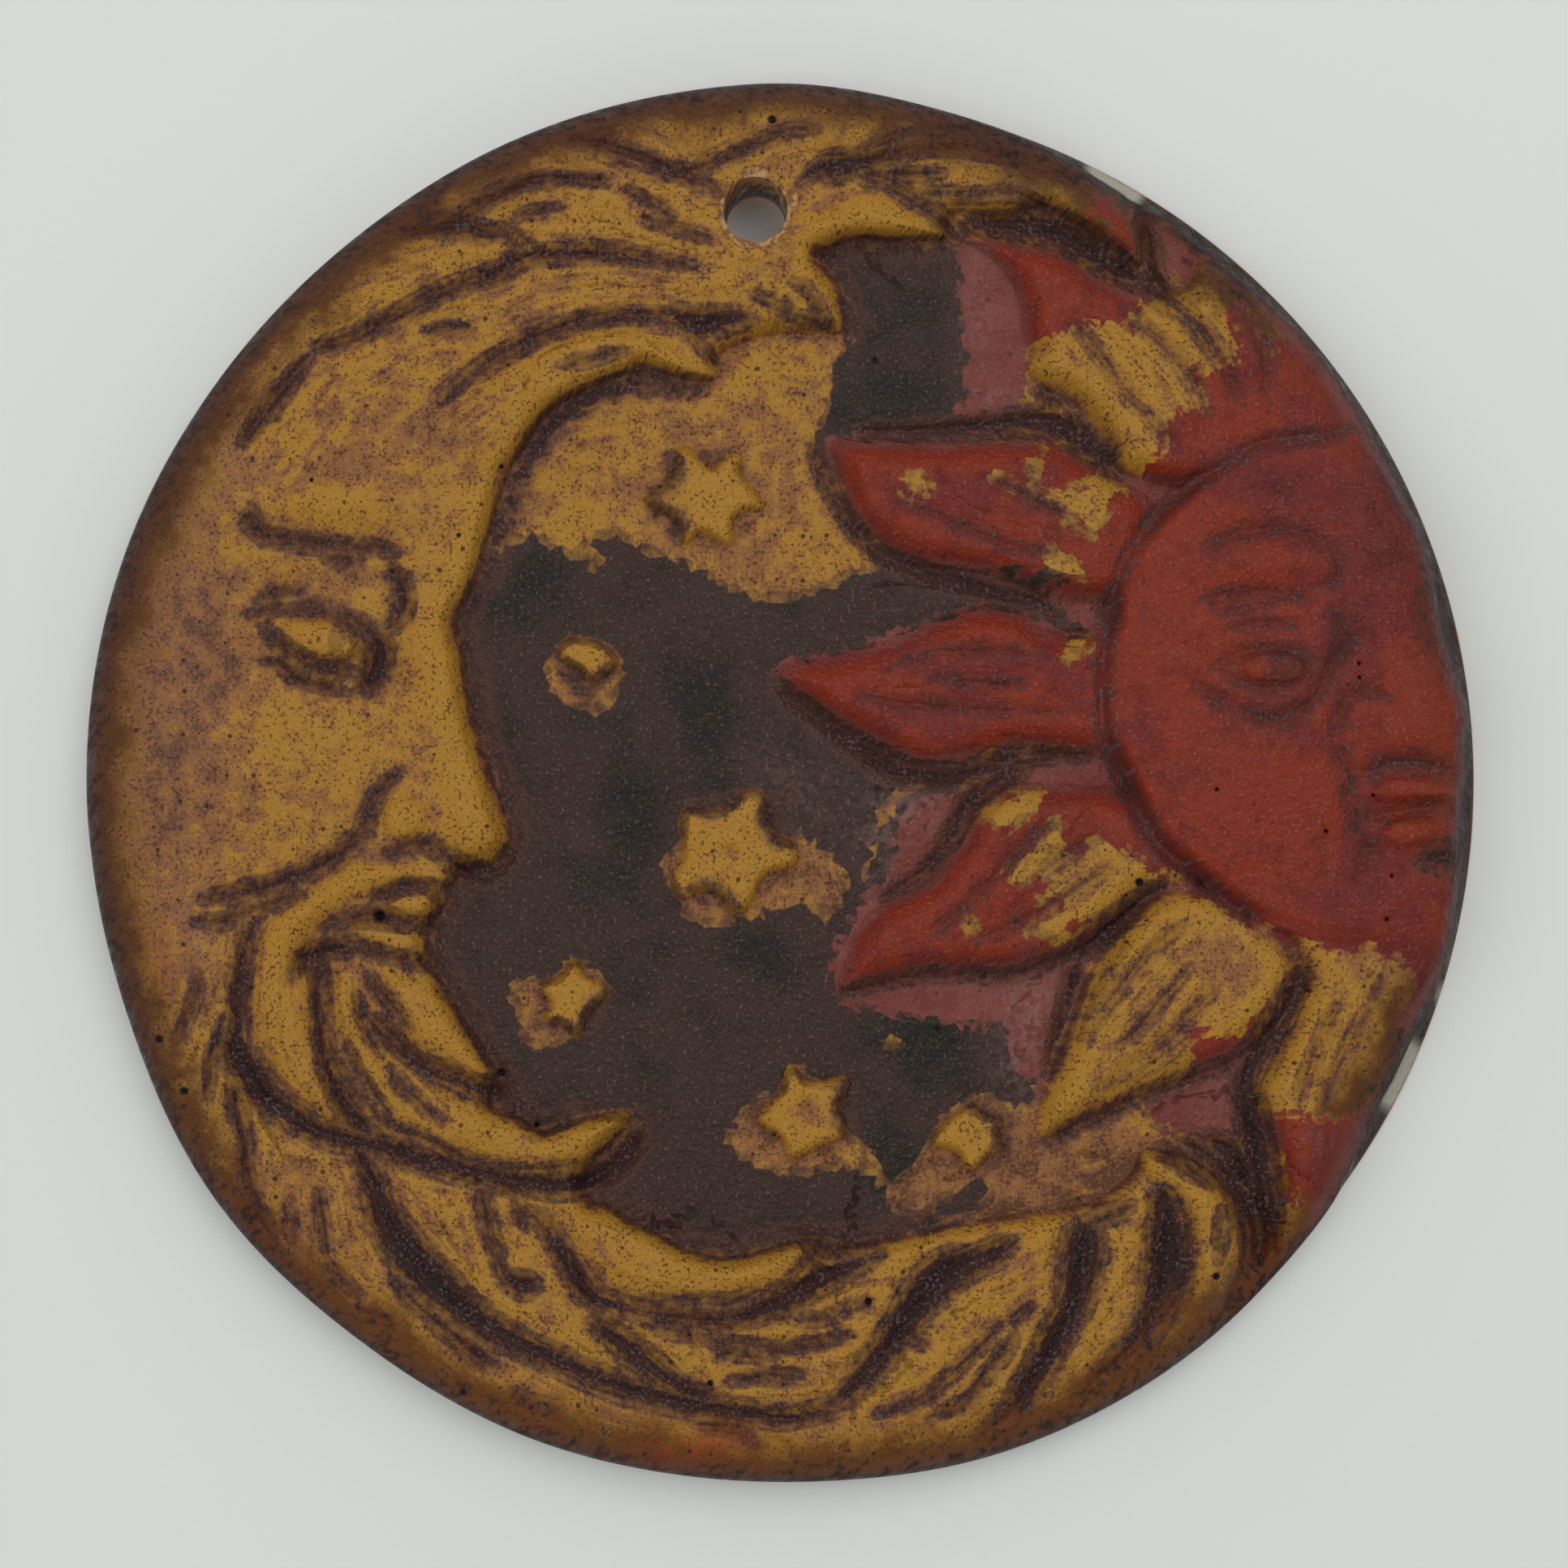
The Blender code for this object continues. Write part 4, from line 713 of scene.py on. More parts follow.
# The paint. Ochre and gold went on first, then charcoal for the sky and iron red for the sun and
# most rays, rather freely; a dark wash was wiped off again, and stayed in the grooves. All of it
# is waxed. Each paint's reach is kept on the clay as an attribute, in hundredths inside its edge.
SKY = [
    (-36, 34.8), (-30, 32), (-27, 34.2), (-23.7, 35.3), (-20, 33), (-12, 29.5), (-6, 26.6), (2, 26.3),
    (12.5, 30.5), (20, 29.5), (28, 28.5), (36, 27.5), (40, 23), (36, 24), (30, 25.5), (24, 24.8), (8, 19),
    (1, 18.2), (-1.7, 15.3), (0, 12.5), (15, 3), (22, 1.8), (14, -3), (13.5, -6), (11.5, -11.5), (8.5, -16.5),
    (6.5, -18), (5.3, -26), (6, -29), (8.5, -31), (20, -33), (29.5, -34.3), (34, -41), (36, -44.3), (31, -45.8),
    (26.5, -44.3), (20, -50.5), (18, -54), (14, -58), (17, -60.7), (20, -60.2), (25.5, -55.9), (28.5, -56.3),
    (28, -59), (21, -62.3), (10, -64.6), (2.5, -64.5), (-10, -66.2), (-16, -64.2), (-24, -60), (-27, -57),
    (-22, -50), (-21.8, -47), (-28, -46.8), (-34, -48.8), (-41, -45.5), (-40.7, -41), (-43, -36.5), (-48.5, -27),
    (-50, -24), (-49.5, -20), (-47.5, -17), (-46.5, -13), (-40, -10.5), (-38.5, -7), (-40.5, -1), (-44, 11),
    (-45, 18), (-46, 23), (-41, 32),
]  # fmt: skip
SKY_AT_TOP = [
    (9.3, 62.2), (8, 61), (5.8, 55), (5.5, 52), (4.7, 49), (7, 48.6), (13, 49.5), (16, 49), (20, 49.5),
    (24, 51.5), (26.3, 56), (26, 59), (24.6, 66), (24.5, 70), (24.5, 75.3), (16, 75.2), (10, 75), (6, 74.5),
    (7.5, 70),
]  # fmt: skip
# Ochre that was brushed past the stars over the sky.
OCHRE_ON_SKY = [
    [(-33.2, 16.8), (-33, 14), (-31, 11.3), (-28, 10.8), (-27, 10), (-25.2, 11), (-23.6, 15), (-23.9, 17.6),
     (-25.5, 19.2), (-30.4, 20.1)],
    [(-14, -4.2), (-9.7, -4.3), (-4.2, -1), (-3.4, -6.3), (0.7, -8.4), (1.7, -6.8), (5, -9.8), (7, -11),
     (8.5, -15), (8, -17), (6, -18), (0, -17.7), (-10, -19.6), (-14, -18.4), (-15, -16), (-16.5, -13),
     (-17, -10), (-14.8, -9)],
    [(-38.7, -29.5), (-36, -27.8), (-32.3, -27.7), (-29.6, -25), (-24.7, -29.3), (-28.2, -31.9), (-28.9, -35),
     (-31, -35.3), (-33.5, -36.7), (-36, -36.3), (-37.2, -34.8), (-37.3, -31.5)],
    [(1.2, -40), (3.6, -42.4), (8.5, -42), (6.7, -46.2), (8, -49), (11.5, -52.5), (13.8, -56.5), (10, -54),
     (5.5, -53.7), (3, -54.5), (-4, -53.7), (-7.7, -51), (-7.5, -49), (-5, -45.3), (-3, -44), (-0.7, -43.3)],
    [(25, -45.2), (26, -46.5), (30, -47.6), (29, -50.5), (30, -51.7), (27.5, -53), (24.5, -53), (26, -55.7),
     (22.5, -57.8), (19.5, -60.3), (17, -60.7), (14, -58), (18, -54), (21.5, -48)],
    [(14.4, -36.2), (15.3, -36.2), (15.3, -37.5), (14.4, -37.5)],
    [(-27.6, 31.7), (-26.4, 31.7), (-26.4, 30.4), (-27.6, 30.4)],
]  # fmt: skip
RED = [
    [(24.4, 75), (28, 77), (36, 75.6), (40, 74), (45, 71), (50, 69), (50.4, 67.3), (48.2, 64.8), (47.8, 62.5),
     (46.5, 62.8), (45.5, 64), (42.3, 64.6), (40.3, 63.2), (34.7, 60.8), (34.5, 55.5), (33, 53), (30, 50.5),
     (25, 50.3), (24.3, 52), (25.6, 56), (24.6, 64), (24.4, 70)],
    [(43.5, 82.5), (45, 83), (48, 79.5), (50, 75), (49.5, 73), (47.5, 75.3), (44, 78.5), (42.7, 79.4)],
    [(51.5, 79), (58, 74.5), (58, 72), (55.5, 71), (54, 71.5), (52.5, 75)],
    [(48.5, 42.3), (51.5, 46), (53, 46.5), (53, 50.5), (56, 52.3), (57.8, 51.5), (58.5, 54), (57.5, 58.2),
     (59.5, 58), (62.8, 60), (63.2, 59), (63.5, 62), (62.5, 66), (64.5, 66.5), (67.5, 60.8), (69.3, 63),
     (66.5, 67.5), (72, 65), (80, 62), (90, 50), (98, 36), (102, 20), (104, 0), (103, -20), (100, -32),
     (92, -33), (88.5, -35), (86.3, -34), (87.4, -28), (86, -25), (82, -23), (79, -24), (73, -22.8), (67, -20.5),
     (60, -17), (55, -14.5), (50, -16.8), (42.5, -23.5), (43, -25), (39, -35), (36, -41.5), (35, -43.5),
     (31, -36), (29.5, -34.3), (25, -34), (12, -31.8), (6, -29), (8.5, -20), (13.5, -14), (15, -9), (17, -5),
     (20, -2.5), (30, 1.5), (42, 4), (33, 4.8), (26, 3), (18, 2.5), (9, 7), (-0.5, 14), (-1.5, 15.3), (0, 17),
     (4, 17.7), (12, 19.7), (24, 24.2), (30, 25), (37, 23), (39.5, 21.5), (38, 24.5), (33.5, 27.5), (22, 29.8),
     (18, 30.3), (10, 35.5), (6.5, 43.5), (6, 47.5), (10, 48.6), (24, 48.1), (34, 48.8), (38, 48.2), (46, 43.2)],
    [(56.3, -36), (59, -35), (62, -35.3), (65, -34.5), (69.3, -31), (69, -34), (66.5, -37), (66, -44),
     (67.5, -46.5), (70, -46.6), (78, -47.3), (80.5, -46.5), (84, -44), (90, -46), (84, -60), (78, -66),
     (74, -62), (72, -57.8), (70, -58), (68.7, -51), (66, -50), (61, -50.5), (56, -50), (51, -47), (50, -44),
     (57, -41.2)],
]  # fmt: skip
# Ochre that shows where the red was brushed thinly or left off.
OCHRE_ON_RED = [
    [(29, 42.9), (33.5, 42.5), (38, 41.2), (42, 42), (42.8, 44), (42.3, 45.3), (46.5, 42.8), (48.5, 42.3),
     (45, 38), (43, 34.5), (41, 36), (34, 40.5), (31, 41.6)],
    [(36.5, 34.2), (38, 35.5), (41, 36), (43, 34.5), (38.5, 33.5), (38, 31.7), (40, 31.2), (42.2, 30),
     (41.5, 28.5), (37, 27.8), (35.5, 26.5), (33.5, 27.5), (29, 29), (30, 29.6), (34.8, 29.8), (36, 32),
     (37.5, 33)],
    [(16.4, 41.5), (17, 42.9), (18.4, 43.4), (19.8, 42.7), (20.3, 41.2), (19.4, 39.9), (17.8, 39.5), (16.7, 40.3)],
    [(26, -6.5), (30, -2.3), (35.3, 0.2), (35.5, -2.5), (34.5, -4.3), (32.5, -5.5), (31.3, -7.5), (28.5, -5.8)],
    [(31, -12.6), (32.5, -10.3), (37, -6), (38.2, -5.3), (38.8, -6.5), (39, -8.5), (41, -9.5), (43.5, -8.2),
     (46, -8.3), (50, -10.8), (51.5, -12.8), (53.5, -12.9), (55.5, -14.5), (53, -14.6), (45, -19.2), (42.5, -20),
     (40.2, -20.2), (39.8, -21.3), (41, -22.7), (38.5, -24), (37, -21.5), (33.5, -21), (38.5, -17.5),
     (35, -16.5), (36, -15.3), (36.5, -13), (35, -13), (34, -14.6), (32.7, -14.4)],
    [(24.8, -20), (26, -18.9), (26.8, -19.4), (26.9, -20.4), (26.2, -21), (25.3, -20.9)],
    [(39.5, 18.6), (42, 18.4), (42.6, 20.2), (41, 21.6), (39.4, 20.8)],
    [(42.2, 22), (44, 22.2), (43.8, 24), (42.4, 23.8)],
]  # fmt: skip
OCHRE_DAUBS = [[(33.2, 42.7, 0.8), (35, 45, 0.6), (35.8, 46.8, 0.5)], [(38.2, 16, 0.5), (39.6, 18, 0.5)]]
# The dark line round the moon's face and curls, where the wash ran down to the foot of the relief; it is also painted
# shade at the feet of the raised forms and beside the stars.
FOOT_WASH_AND_SHADE = [
    [(-11, 56, 1), (-16, 55.4, 1.1), (-20, 56, 1.2), (-25, 55, 1.3), (-31, 51.8, 1.5), (-35.5, 46.6, 1.4),
     (-40, 35.5, 1.1), (-42, 29, 1.1), (-44.6, 23.5, 1), (-44, 18, 1), (-43, 11, 1), (-40.6, 2, 1), (-38, -5, 1),
     (-37.2, -8, 0.9)],
    [(-46, -14, 1), (-46.6, -17, 1), (-48.7, -20, 0.9), (-49, -24, 0.9), (-47.4, -27.5, 0.9),
     (-41.6, -37.5, 0.9), (-39.8, -41, 0.9), (-38, -45.6, 0.8), (-34, -47.8, 0.8), (-28, -45.8, 0.7)],
    [(-21, -46.4, 0.8), (-20.6, -48.6, 0.8), (-22.5, -52, 1), (-25.5, -55.5, 1)],
    [(-24, -58.9, 0.6), (-12.5, -64.6, 0.6), (-7, -65.4, 0.6), (1, -63.3, 0.6), (10, -63.7, 0.6),
     (21, -61.2, 0.6)],
    [(9, 62, 0.7), (9.2, 66, 0.7), (7.7, 70.5, 0.6), (6.4, 73, 0.7), (10, 75, 0.8), (16, 74.8, 0.9),
     (23, 75.4, 0.9)],
    [(0.5, -1.5, 0.4), (-1.9, -3.5, 1), (-2, -6.4, 1), (0.6, -8.6, 0.5)],
    [(-13.4, -3.4, 0.4), (-9.6, -3.3, 0.8), (-7, -2, 0.4)],
    [(-13.3, -14.9, 0.6), (-10.4, -15.7, 1.1), (-7.4, -17.2, 0.7)],
    [(9, -42, 0.4), (7.6, -46.4, 0.8), (8.8, -49, 0.4)],
    [(26, -45.6, 0.6), (31, -47.4, 0.5), (30.2, -49.6, 0.8), (30.8, -51.8, 0.5)],
    [(-24.9, -29.6, 0.4), (-27.2, -31.7, 0.7), (-27.9, -35, 0.5)],
    [(-32.5, -33.7, 0.5), (-30.6, -34.4, 0.7)],
    [(-32, 16.8, 0.3), (-30.8, 16, 0.8), (-28.7, 14, 0.9), (-27.8, 13.6, 0.5), (-26.2, 14.2, 0.4),
     (-24.8, 16, 0.3)],
    [(-18.5, 41, 0.5), (-16, 42, 0.7), (-15.2, 44, 0.7), (-16.5, 46, 0.5)],
    [(-19, 39.5, 0.5), (-17, 38, 0.7), (-15.2, 36.8, 0.8), (-15.3, 34, 0.4)],
    [(-11.3, 45.8, 0.5), (-9.4, 45.8, 0.5)],
]  # fmt: skip
# Where the ochre is browner with wash (positive) or rubbed through to gold (negative); in places the brown is also
# painted shade and the gold a painted highlight on the forms.
WASH_AND_SHADING = [
    ((-87, 18), (9, 34), 0, 0.75), ((-70, 62), (18, 9), 38, 0.3), ((-48, 47), (15, 7), 20, 0.35),
    ((-36, 86), (22, 5), 20, 0.4), ((-18, 44), (20, 9), 8, -0.2), ((-20, 50), (24, 4), 6, 0.1),
    ((-70, -64), (14, 14), -45, 0.35), ((-30, -90), (34, 5), 10, 0.3), ((30, -58), (16, 6), 10, 0.5),
    ((44, -53), (12, 7), 0, 0.5), ((-84, -10), (7, 22), 0, 0.35), ((62, -25), (9, 7), 0, 0.35),
    ((48, -35), (4, 4), 0, 0.4), ((5, -14.5), (5, 4), 0, 0.7), ((-5, -50), (4, 5), 0, 0.6),
    ((17, -58), (4, 4), 0, 0.6), ((-29, 12.5), (4, 2), 0, 0.7), ((-35.5, -32), (2.5, 5), 0, 0.5),
    ((-70, 20), (14, 9), 0, 0.25), ((-60, -56), (5, 10), 0, 0.25), ((-48, 36), (5, 9), 0, -0.3),
    ((-64, 39), (10, 3), 0, -0.3), ((-68, 1), (10, 8), 0, -0.3), ((-49, 4), (5, 16), 10, -0.5),
    ((-27, 60), (14, 3), 8, -0.6), ((-58, 69), (14, 3), 25, -0.45), ((0, 58.5), (9, 3), 5, -0.6),
    ((-29, 35.5), (3, 4), 0, -0.7), ((-11, 40), (7, 5), 0, -0.5), ((-8, -9), (6, 6), 0, -0.5),
    ((-44, -48), (16, 4), -12, 0.1), ((-54, -32), (4, 8), 30, 0.2), ((-70, -34), (3, 12), 0, -0.1),
    ((-12, -70), (14, 2.5), 0, -0.4), ((30, 80), (14, 3), -15, -0.4), ((8, 79), (10, 2.5), 0, -0.3),
    ((60, -62), (3, 8), 0, -0.4), ((45, -72), (3, 9), -10, -0.3), ((32, -80), (4, 9), -20, -0.3),
    ((45, 57), (9, 6), 45, -0.5), ((76, -36), (7, 9), 0, -0.4), ((56, -20), (8, 4), 0, -0.4),
]  # fmt: skip
# Darker, greener places in the charcoal.
SKY_DARKS = [
    ((-12, 10), (5, 8), 10, 1), ((-22, -8), (5, 18), 0, 0.7), ((-34, 27), (7, 6), 0, 0.8),
    ((14, -54), (5, 4), 0, 0.9), ((19, -37), (8, 6), -15, 1), ((4, -2), (7, 6), 0, 0.2),
    ((16, 56), (6, 9), 0, 1), ((-7, -24), (8, 5), 0, 0.8), ((28, 0.5), (10, 2), 0, 0.5),
    ((-40, -14), (4, 8), 0, 0.2), ((-13, -21), (5, 3), 0, -0.5), ((-28, 20), (7, 6), 0, -0.4),
    ((-16, -58), (10, 8), 0, -0.2), ((10, 20), (6, 8), 0, -0.2),
]  # fmt: skip
# Darker, purplish places in the red, partly painted shade on the slopes of the sun's forehead, chin and edges.
RED_DARKS_AND_SHADE = [
    ((85, 33), (7, 11), 20, 0.9), ((84, -17), (7, 4), 0, 0.6), ((78, 21), (4, 8), 0, 0.6),
    ((72, 42), (14, 4), -10, 0.5), ((81, -6), (3, 7), 0, 0.5), ((70, 12), (8, 4), 0, 0.35),
    ((62, 24), (10, 3), 0, 0.4), ((88, -28), (4, 10), 0, 0.6), ((76, -58), (8, 8), 0, 0.5),
    ((14, 38), (4, 6), 30, 0.4), ((20, 8), (12, 3), 0, 0.4), ((24, -24), (12, 2.5), 0, 0.4),
    ((66, -2), (10, 8), 0, -0.4), ((56, 20), (8, 12), 0, -0.35), ((68, 31), (8, 3), 0, -0.2),
    ((90, 9), (3, 4), 0, -0.2),
]  # fmt: skip
# The pale edge of the back that shows past the front in two places.
PALE_EDGE = [((46, 84), (5, 4), -40, 1), ((86, -41), (3, 6), -20, 1), ((92, -30), (2, 4), 0, 0.5)]
# Greyish bloom in the paint, partly a painted sheen, mostly where it is low beside the rays.
BLOOM_AND_SHEEN = [
    ((34, -34), (4, 9), -10, 1), ((27, 68), (3, 10), 0, 0.6), ((30, 53), (5, 3), 0, 0.7),
    ((17, -3), (5, 5), 0, 0.7), ((2, -1), (9, 5), -30, 0.35), ((26, 1), (8, 3), 0, 0.6),
    ((62, -45), (6, 6), 0, 0.4), ((13, -10), (3, 5), 0, 0.5), ((28, 27.5), (9, 2), 0, 0.4),
    ((75, -50), (6, 4), 0, 0.25), ((-85, 12), (7, 24), 0, 0.4), ((-84, -22), (4, 9), 0, 0.5),
    ((-80, 46), (5, 8), 40, 0.4),
]  # fmt: skip
# Rust-coloured patches at the rim.
RUST = [((-13, -93.5), (8, 2.2), 8, 1), ((-87, -24), (3, 5), 0, 0.5), ((92, 2), (2, 7), 0, 0.4)]
# How far round the hole its wall reaches, which is painted dark as painted shade, and how far under the front it
# starts.
HOLE_WALL_REACH = 5.6
BELOW_FRONT = 0.0008
# The wash was wiped off what stands over its surroundings, fully where it stands this much over them; the same measure
# paints shade in the low places and lighter tops.
RELIEF_SPREAD = 1.8
FULL_RELIEF = 0.0005


def nearest_inside(u, v, outlines):
    """How far inside the nearest of several outlines each point is; negative outside them all."""
    return np.max([inside_outline(u, v, outline, 3) for outline in outlines], axis=0)


def over_its_surroundings(u, v, spread):
    """How far the front stands over its own surroundings, within about this many hundredths."""
    step = 0.5
    line = np.arange(-104, 104, step)
    across, along = np.meshgrid(line, line)
    on_plate = np.hypot(across, along) < rim_radius(across, along)
    high_there = np.where(on_plate, carving(across.ravel(), along.ravel()).reshape(across.shape), 0)
    wave = np.fft.fftfreq(len(line), step)
    spreading = np.exp(-2 * (math.pi * spread) ** 2 * (wave[:, None] ** 2 + wave[None, :] ** 2))

    def smoothed(field):
        return np.real(np.fft.ifft2(np.fft.fft2(field) * spreading))

    excess = np.where(on_plate, high_there - smoothed(high_there) / np.maximum(smoothed(on_plate * 1.0), 0.05), 0)
    column, row = (np.clip((u + 104) / step, 0, len(line) - 1.01), np.clip((v + 104) / step, 0, len(line) - 1.01))
    i, j = column.astype(int), row.astype(int)
    fi, fj = column - i, row - j
    below = excess[j, i] * (1 - fi) + excess[j, i + 1] * fi
    above = excess[j + 1, i] * (1 - fi) + excess[j + 1, i + 1] * fi
    return below * (1 - fj) + above * fj


def beside_strokes(u, v, strokes, reach=13.0):
    """How far along the nearest stroke and to the side of it each point is, and how clearly it is the nearest."""
    nearest, second = np.full(u.shape, reach), np.full(u.shape, reach)
    along, across, past = np.zeros(u.shape), np.zeros(u.shape), np.zeros(u.shape)
    for number, points in enumerate(strokes):
        path = tapered(points)
        at = near(u, v, path, reach)
        x, y = u[at], v[at]
        least = np.full(at.shape, 1e3)
        run, side, off_end = np.zeros(at.shape), np.zeros(at.shape), np.zeros(at.shape)
        for start, end in zip(path[:-1], path[1:]):
            t, gap = to_segment(x, y, start, end)
            turn = np.sign((end[0] - start[0]) * (y - start[1]) - (end[1] - start[1]) * (x - start[0]))
            closer = gap < least
            at_end = ((t == 0) & (start[3] == 0)) | ((t == 1) & (end[3] == path[-1, 3]))
            off_end = np.where(closer, gap * at_end, off_end)
            least, side = np.where(closer, gap, least), np.where(closer, turn * gap, side)
            run = np.where(closer, start[3] + (end[3] - start[3]) * t + 37.3 * number, run)
        won = least < nearest[at]
        second[at] = np.where(won, nearest[at], np.minimum(second[at], least))
        nearest[at] = np.where(won, least, nearest[at])
        along[at], across[at] = np.where(won, run, along[at]), np.where(won, side, across[at])
        past[at] = np.where(won, off_end, past[at])
    return along, across, ease(second - nearest) * ease((reach - nearest) / 3) * ease(1 - past / 3)


def keep(name, values):
    """Stores one value for each of the plate's points as an attribute."""
    mesh.attributes.new(name, "FLOAT", "POINT").data.foreach_set("value", values.astype(np.float32))


points = points_of(mesh)
u, v = plan_of(points)
by_hole = np.hypot(u - HOLE_AT[0], v - HOLE_AT[1]) < HOLE_WALL_REACH
# Points on the hole's wall, which get the groove's dark as painted shade.
in_hole = by_hole & (-points[:, 1] < carving(u, v) - BELOW_FRONT)
red = np.minimum(nearest_inside(u, v, RED), -nearest_inside(u, v, OCHRE_ON_RED))
red = np.minimum(red, -inside_strokes(u, v, OCHRE_DAUBS, 3))
keep("red", red)
sky = np.minimum(nearest_inside(u, v, [SKY, SKY_AT_TOP]), -nearest_inside(u, v, OCHRE_ON_SKY))
keep("sky", np.where(nearest_inside(u, v, RAYS[:1] + RAYS[4:]) < -1.2, sky + 3 * ease(1.3 + red / 1.5), sky))
# Dark wash in the grooves, and painted shade at the foot of the relief, in the hollows beside the rays and on the nail
# hole's wall.
grooves_and_shade = inside_strokes(u, v, HAIR_STROKES + MOON_STROKES + FOOT_WASH_AND_SHADE + [SUN_STROKES[-1]], 3)
keep("groove_and_shade", np.where(in_hole, 1, np.maximum(grooves_and_shade, inside_strokes(u, v, RAY_HOLLOWS, 3))))
keep("fine_groove", inside_strokes(u, v, RAY_STROKES + SUN_STROKES[:-1], 3))
keep("ring", inside_strokes(u, v, [SUN_RING], 3))
keep("iris", inside_strokes(u, v, MOON_IRIS + SUN_IRIS, 1))
for name, values in zip(("along", "across", "strand"), beside_strokes(u, v, HAIR_STROKES + RAY_STROKES)):
    keep(name, values)
soft_places = {
    "wash_and_shading": WASH_AND_SHADING, "red_dark_and_shade": RED_DARKS_AND_SHADE, "sky_dark": SKY_DARKS, "bloom_and_sheen": BLOOM_AND_SHEEN, "rusty": RUST, "pale_edge": PALE_EDGE,
}  # fmt: skip
for name, places in soft_places.items():
    keep(name, swollen(u, v, places))
keep("relief", np.clip(over_its_surroundings(u, v, RELIEF_SPREAD) / FULL_RELIEF, -1, 1))
keep("rim", rim_radius(u, v) - np.hypot(u, v))
keep("bare", np.where(in_hole, 0, chipped(u, v)))
keep("pit", pitted(u, v))

paint = bpy.data.materials.new("painted clay")
paint.use_nodes = True
nodes, links = paint.node_tree.nodes, paint.node_tree.links
shader = nodes["Principled BSDF"]


def wired(kind, inputs, **settings):
    """A node of the paint, with its settings and with values or other nodes' outputs on its inputs."""
    node = nodes.new("ShaderNode" + kind)
    for name, value in settings.items():
        setattr(node, name, value)
    for key, value in inputs.items():
        if isinstance(value, bpy.types.NodeSocket):
            links.new(value, node.inputs[key])
        else:
            node.inputs[key].default_value = value
    return node


def calc(operation, *values):
    """One sum of two values, limited to 0 and 1 when the operation's name starts with a bar."""
    clamped = operation.startswith("|")
    return wired("Math", dict(enumerate(values)), operation=operation.lstrip("|"), use_clamp=clamped).outputs[0]


def level(value, start, end, first=0.0, last=1.0):
    """The value eased from one level to another between a start and an end."""
    sockets = {"Value": value, "From Min": start, "From Max": end, "To Min": first, "To Max": last}
    return wired("MapRange", sockets, interpolation_type="SMOOTHSTEP").outputs["Result"]


def colour(red_part, green_part, blue_part):
    """A paint's colour from its display values."""
    parts = [part / 255 for part in (red_part, green_part, blue_part)]
    return tuple([p / 12.92 if p <= 0.04045 else ((p + 0.055) / 1.055) ** 2.4 for p in parts] + [1.0])


def cover(under, over, share):
    """One colour laid over another with this share."""
    return wired("Mix", {0: share, 6: under, 7: over}, data_type="RGBA").outputs[2]


def kept(name):
    """The attribute that was stored on the clay under this name."""
    return wired("Attribute", {}, attribute_name=name).outputs["Fac"]


def mottle(size, place, detail=2.0):
    """Random spots of about this size, between 0 and 1 round 0.5."""
    sockets = {"Vector": place, "Scale": 1 / size, "Detail": detail}
    return wired("TexNoise", sockets, noise_dimensions="2D").outputs["Fac"]


def specks(spacing, radius, share):
    """1 in round specks of different sizes; this share of the places has one."""
    cells = wired("TexVoronoi", {"Vector": place, "Scale": 1 / spacing}, voronoi_dimensions="2D")
    lot = wired("SeparateXYZ", {"Vector": cells.outputs["Color"]}).outputs
    inside = calc("SUBTRACT", calc("MULTIPLY", lot["X"], radius / spacing), cells.outputs["Distance"])
    return calc("MULTIPLY", level(inside, -0.02, 0.05), calc("LESS_THAN", lot["Y"], share))


def plus(*values):
    """Several values added up."""
    total = values[0]
    for value in values[1:]:
        total = calc("ADD", total, value)
    return total


def swing(value, amount):
    """A random value that swings this far either side of nothing."""
    return calc("MULTIPLY", calc("SUBTRACT", value, 0.5), amount)


apart = wired("SeparateXYZ", {"Vector": wired("TexCoord", {}).outputs["Object"]}).outputs
sideways = plus(apart["X"], calc("MULTIPLY", apart["Y"], 0.25))
upwards = plus(apart["Z"], calc("MULTIPLY", apart["Y"], 0.2))
place = wired("CombineXYZ", {"X": sideways, "Y": upwards}).outputs[0]
blotches = mottle(0.007, place, 2)
patches = mottle(0.0022, place, 3)
fine = mottle(0.0009, place, 2)
GRAIN = 0.00042
grain_noise = wired("TexNoise", {"Vector": place, "Scale": 1 / GRAIN, "Detail": 1.0}, noise_dimensions="2D")
grains = wired("SeparateXYZ", {"Vector": grain_noise.outputs["Color"]}).outputs
STREAK_WIDTH, STREAK_LENGTH = 1 / 0.9, 1 / 0.11
to_side, onward = calc("DIVIDE", kept("across"), STREAK_WIDTH), calc("DIVIDE", kept("along"), STREAK_LENGTH)
strand = wired("CombineXYZ", {"X": to_side, "Y": onward})
streaks = calc("MULTIPLY", swing(mottle(1, strand.outputs[0], 3), 1), kept("strand"))
relief = kept("relief")

# Ochre with its brown wash, brushed along the hair, and grainy all over; the wash is heavier in low places and lighter
# on raised tops, partly as painted shade.
wash_and_shading = plus(0.52, kept("wash_and_shading"), calc("MULTIPLY", streaks, 4.2), swing(blotches, 2.0), swing(patches, 2.2))
wash_and_shading = plus(wash_and_shading, swing(fine, 1.3), swing(grains["X"], 1.2), calc("MULTIPLY", relief, -1.0))
ochre = cover(colour(162, 116, 40), colour(136, 90, 51), level(wash_and_shading, 0.0, 0.95))
ochre = cover(ochre, colour(88, 54, 40), calc("MULTIPLY", level(wash_and_shading, 0.95, 2.0), 0.9))

# Charcoal over the sky.
dark = plus(kept("sky_dark"), swing(blotches, 1.8), swing(patches, 0.9))
charcoal = cover(colour(56, 39, 34), colour(29, 27, 21), level(dark, -0.1, 0.9))
dust = level(plus(patches, swing(grains["X"], 1)), 0.5, 0.9)
charcoal = cover(charcoal, colour(74, 56, 47), calc("MULTIPLY", dust, 0.5))

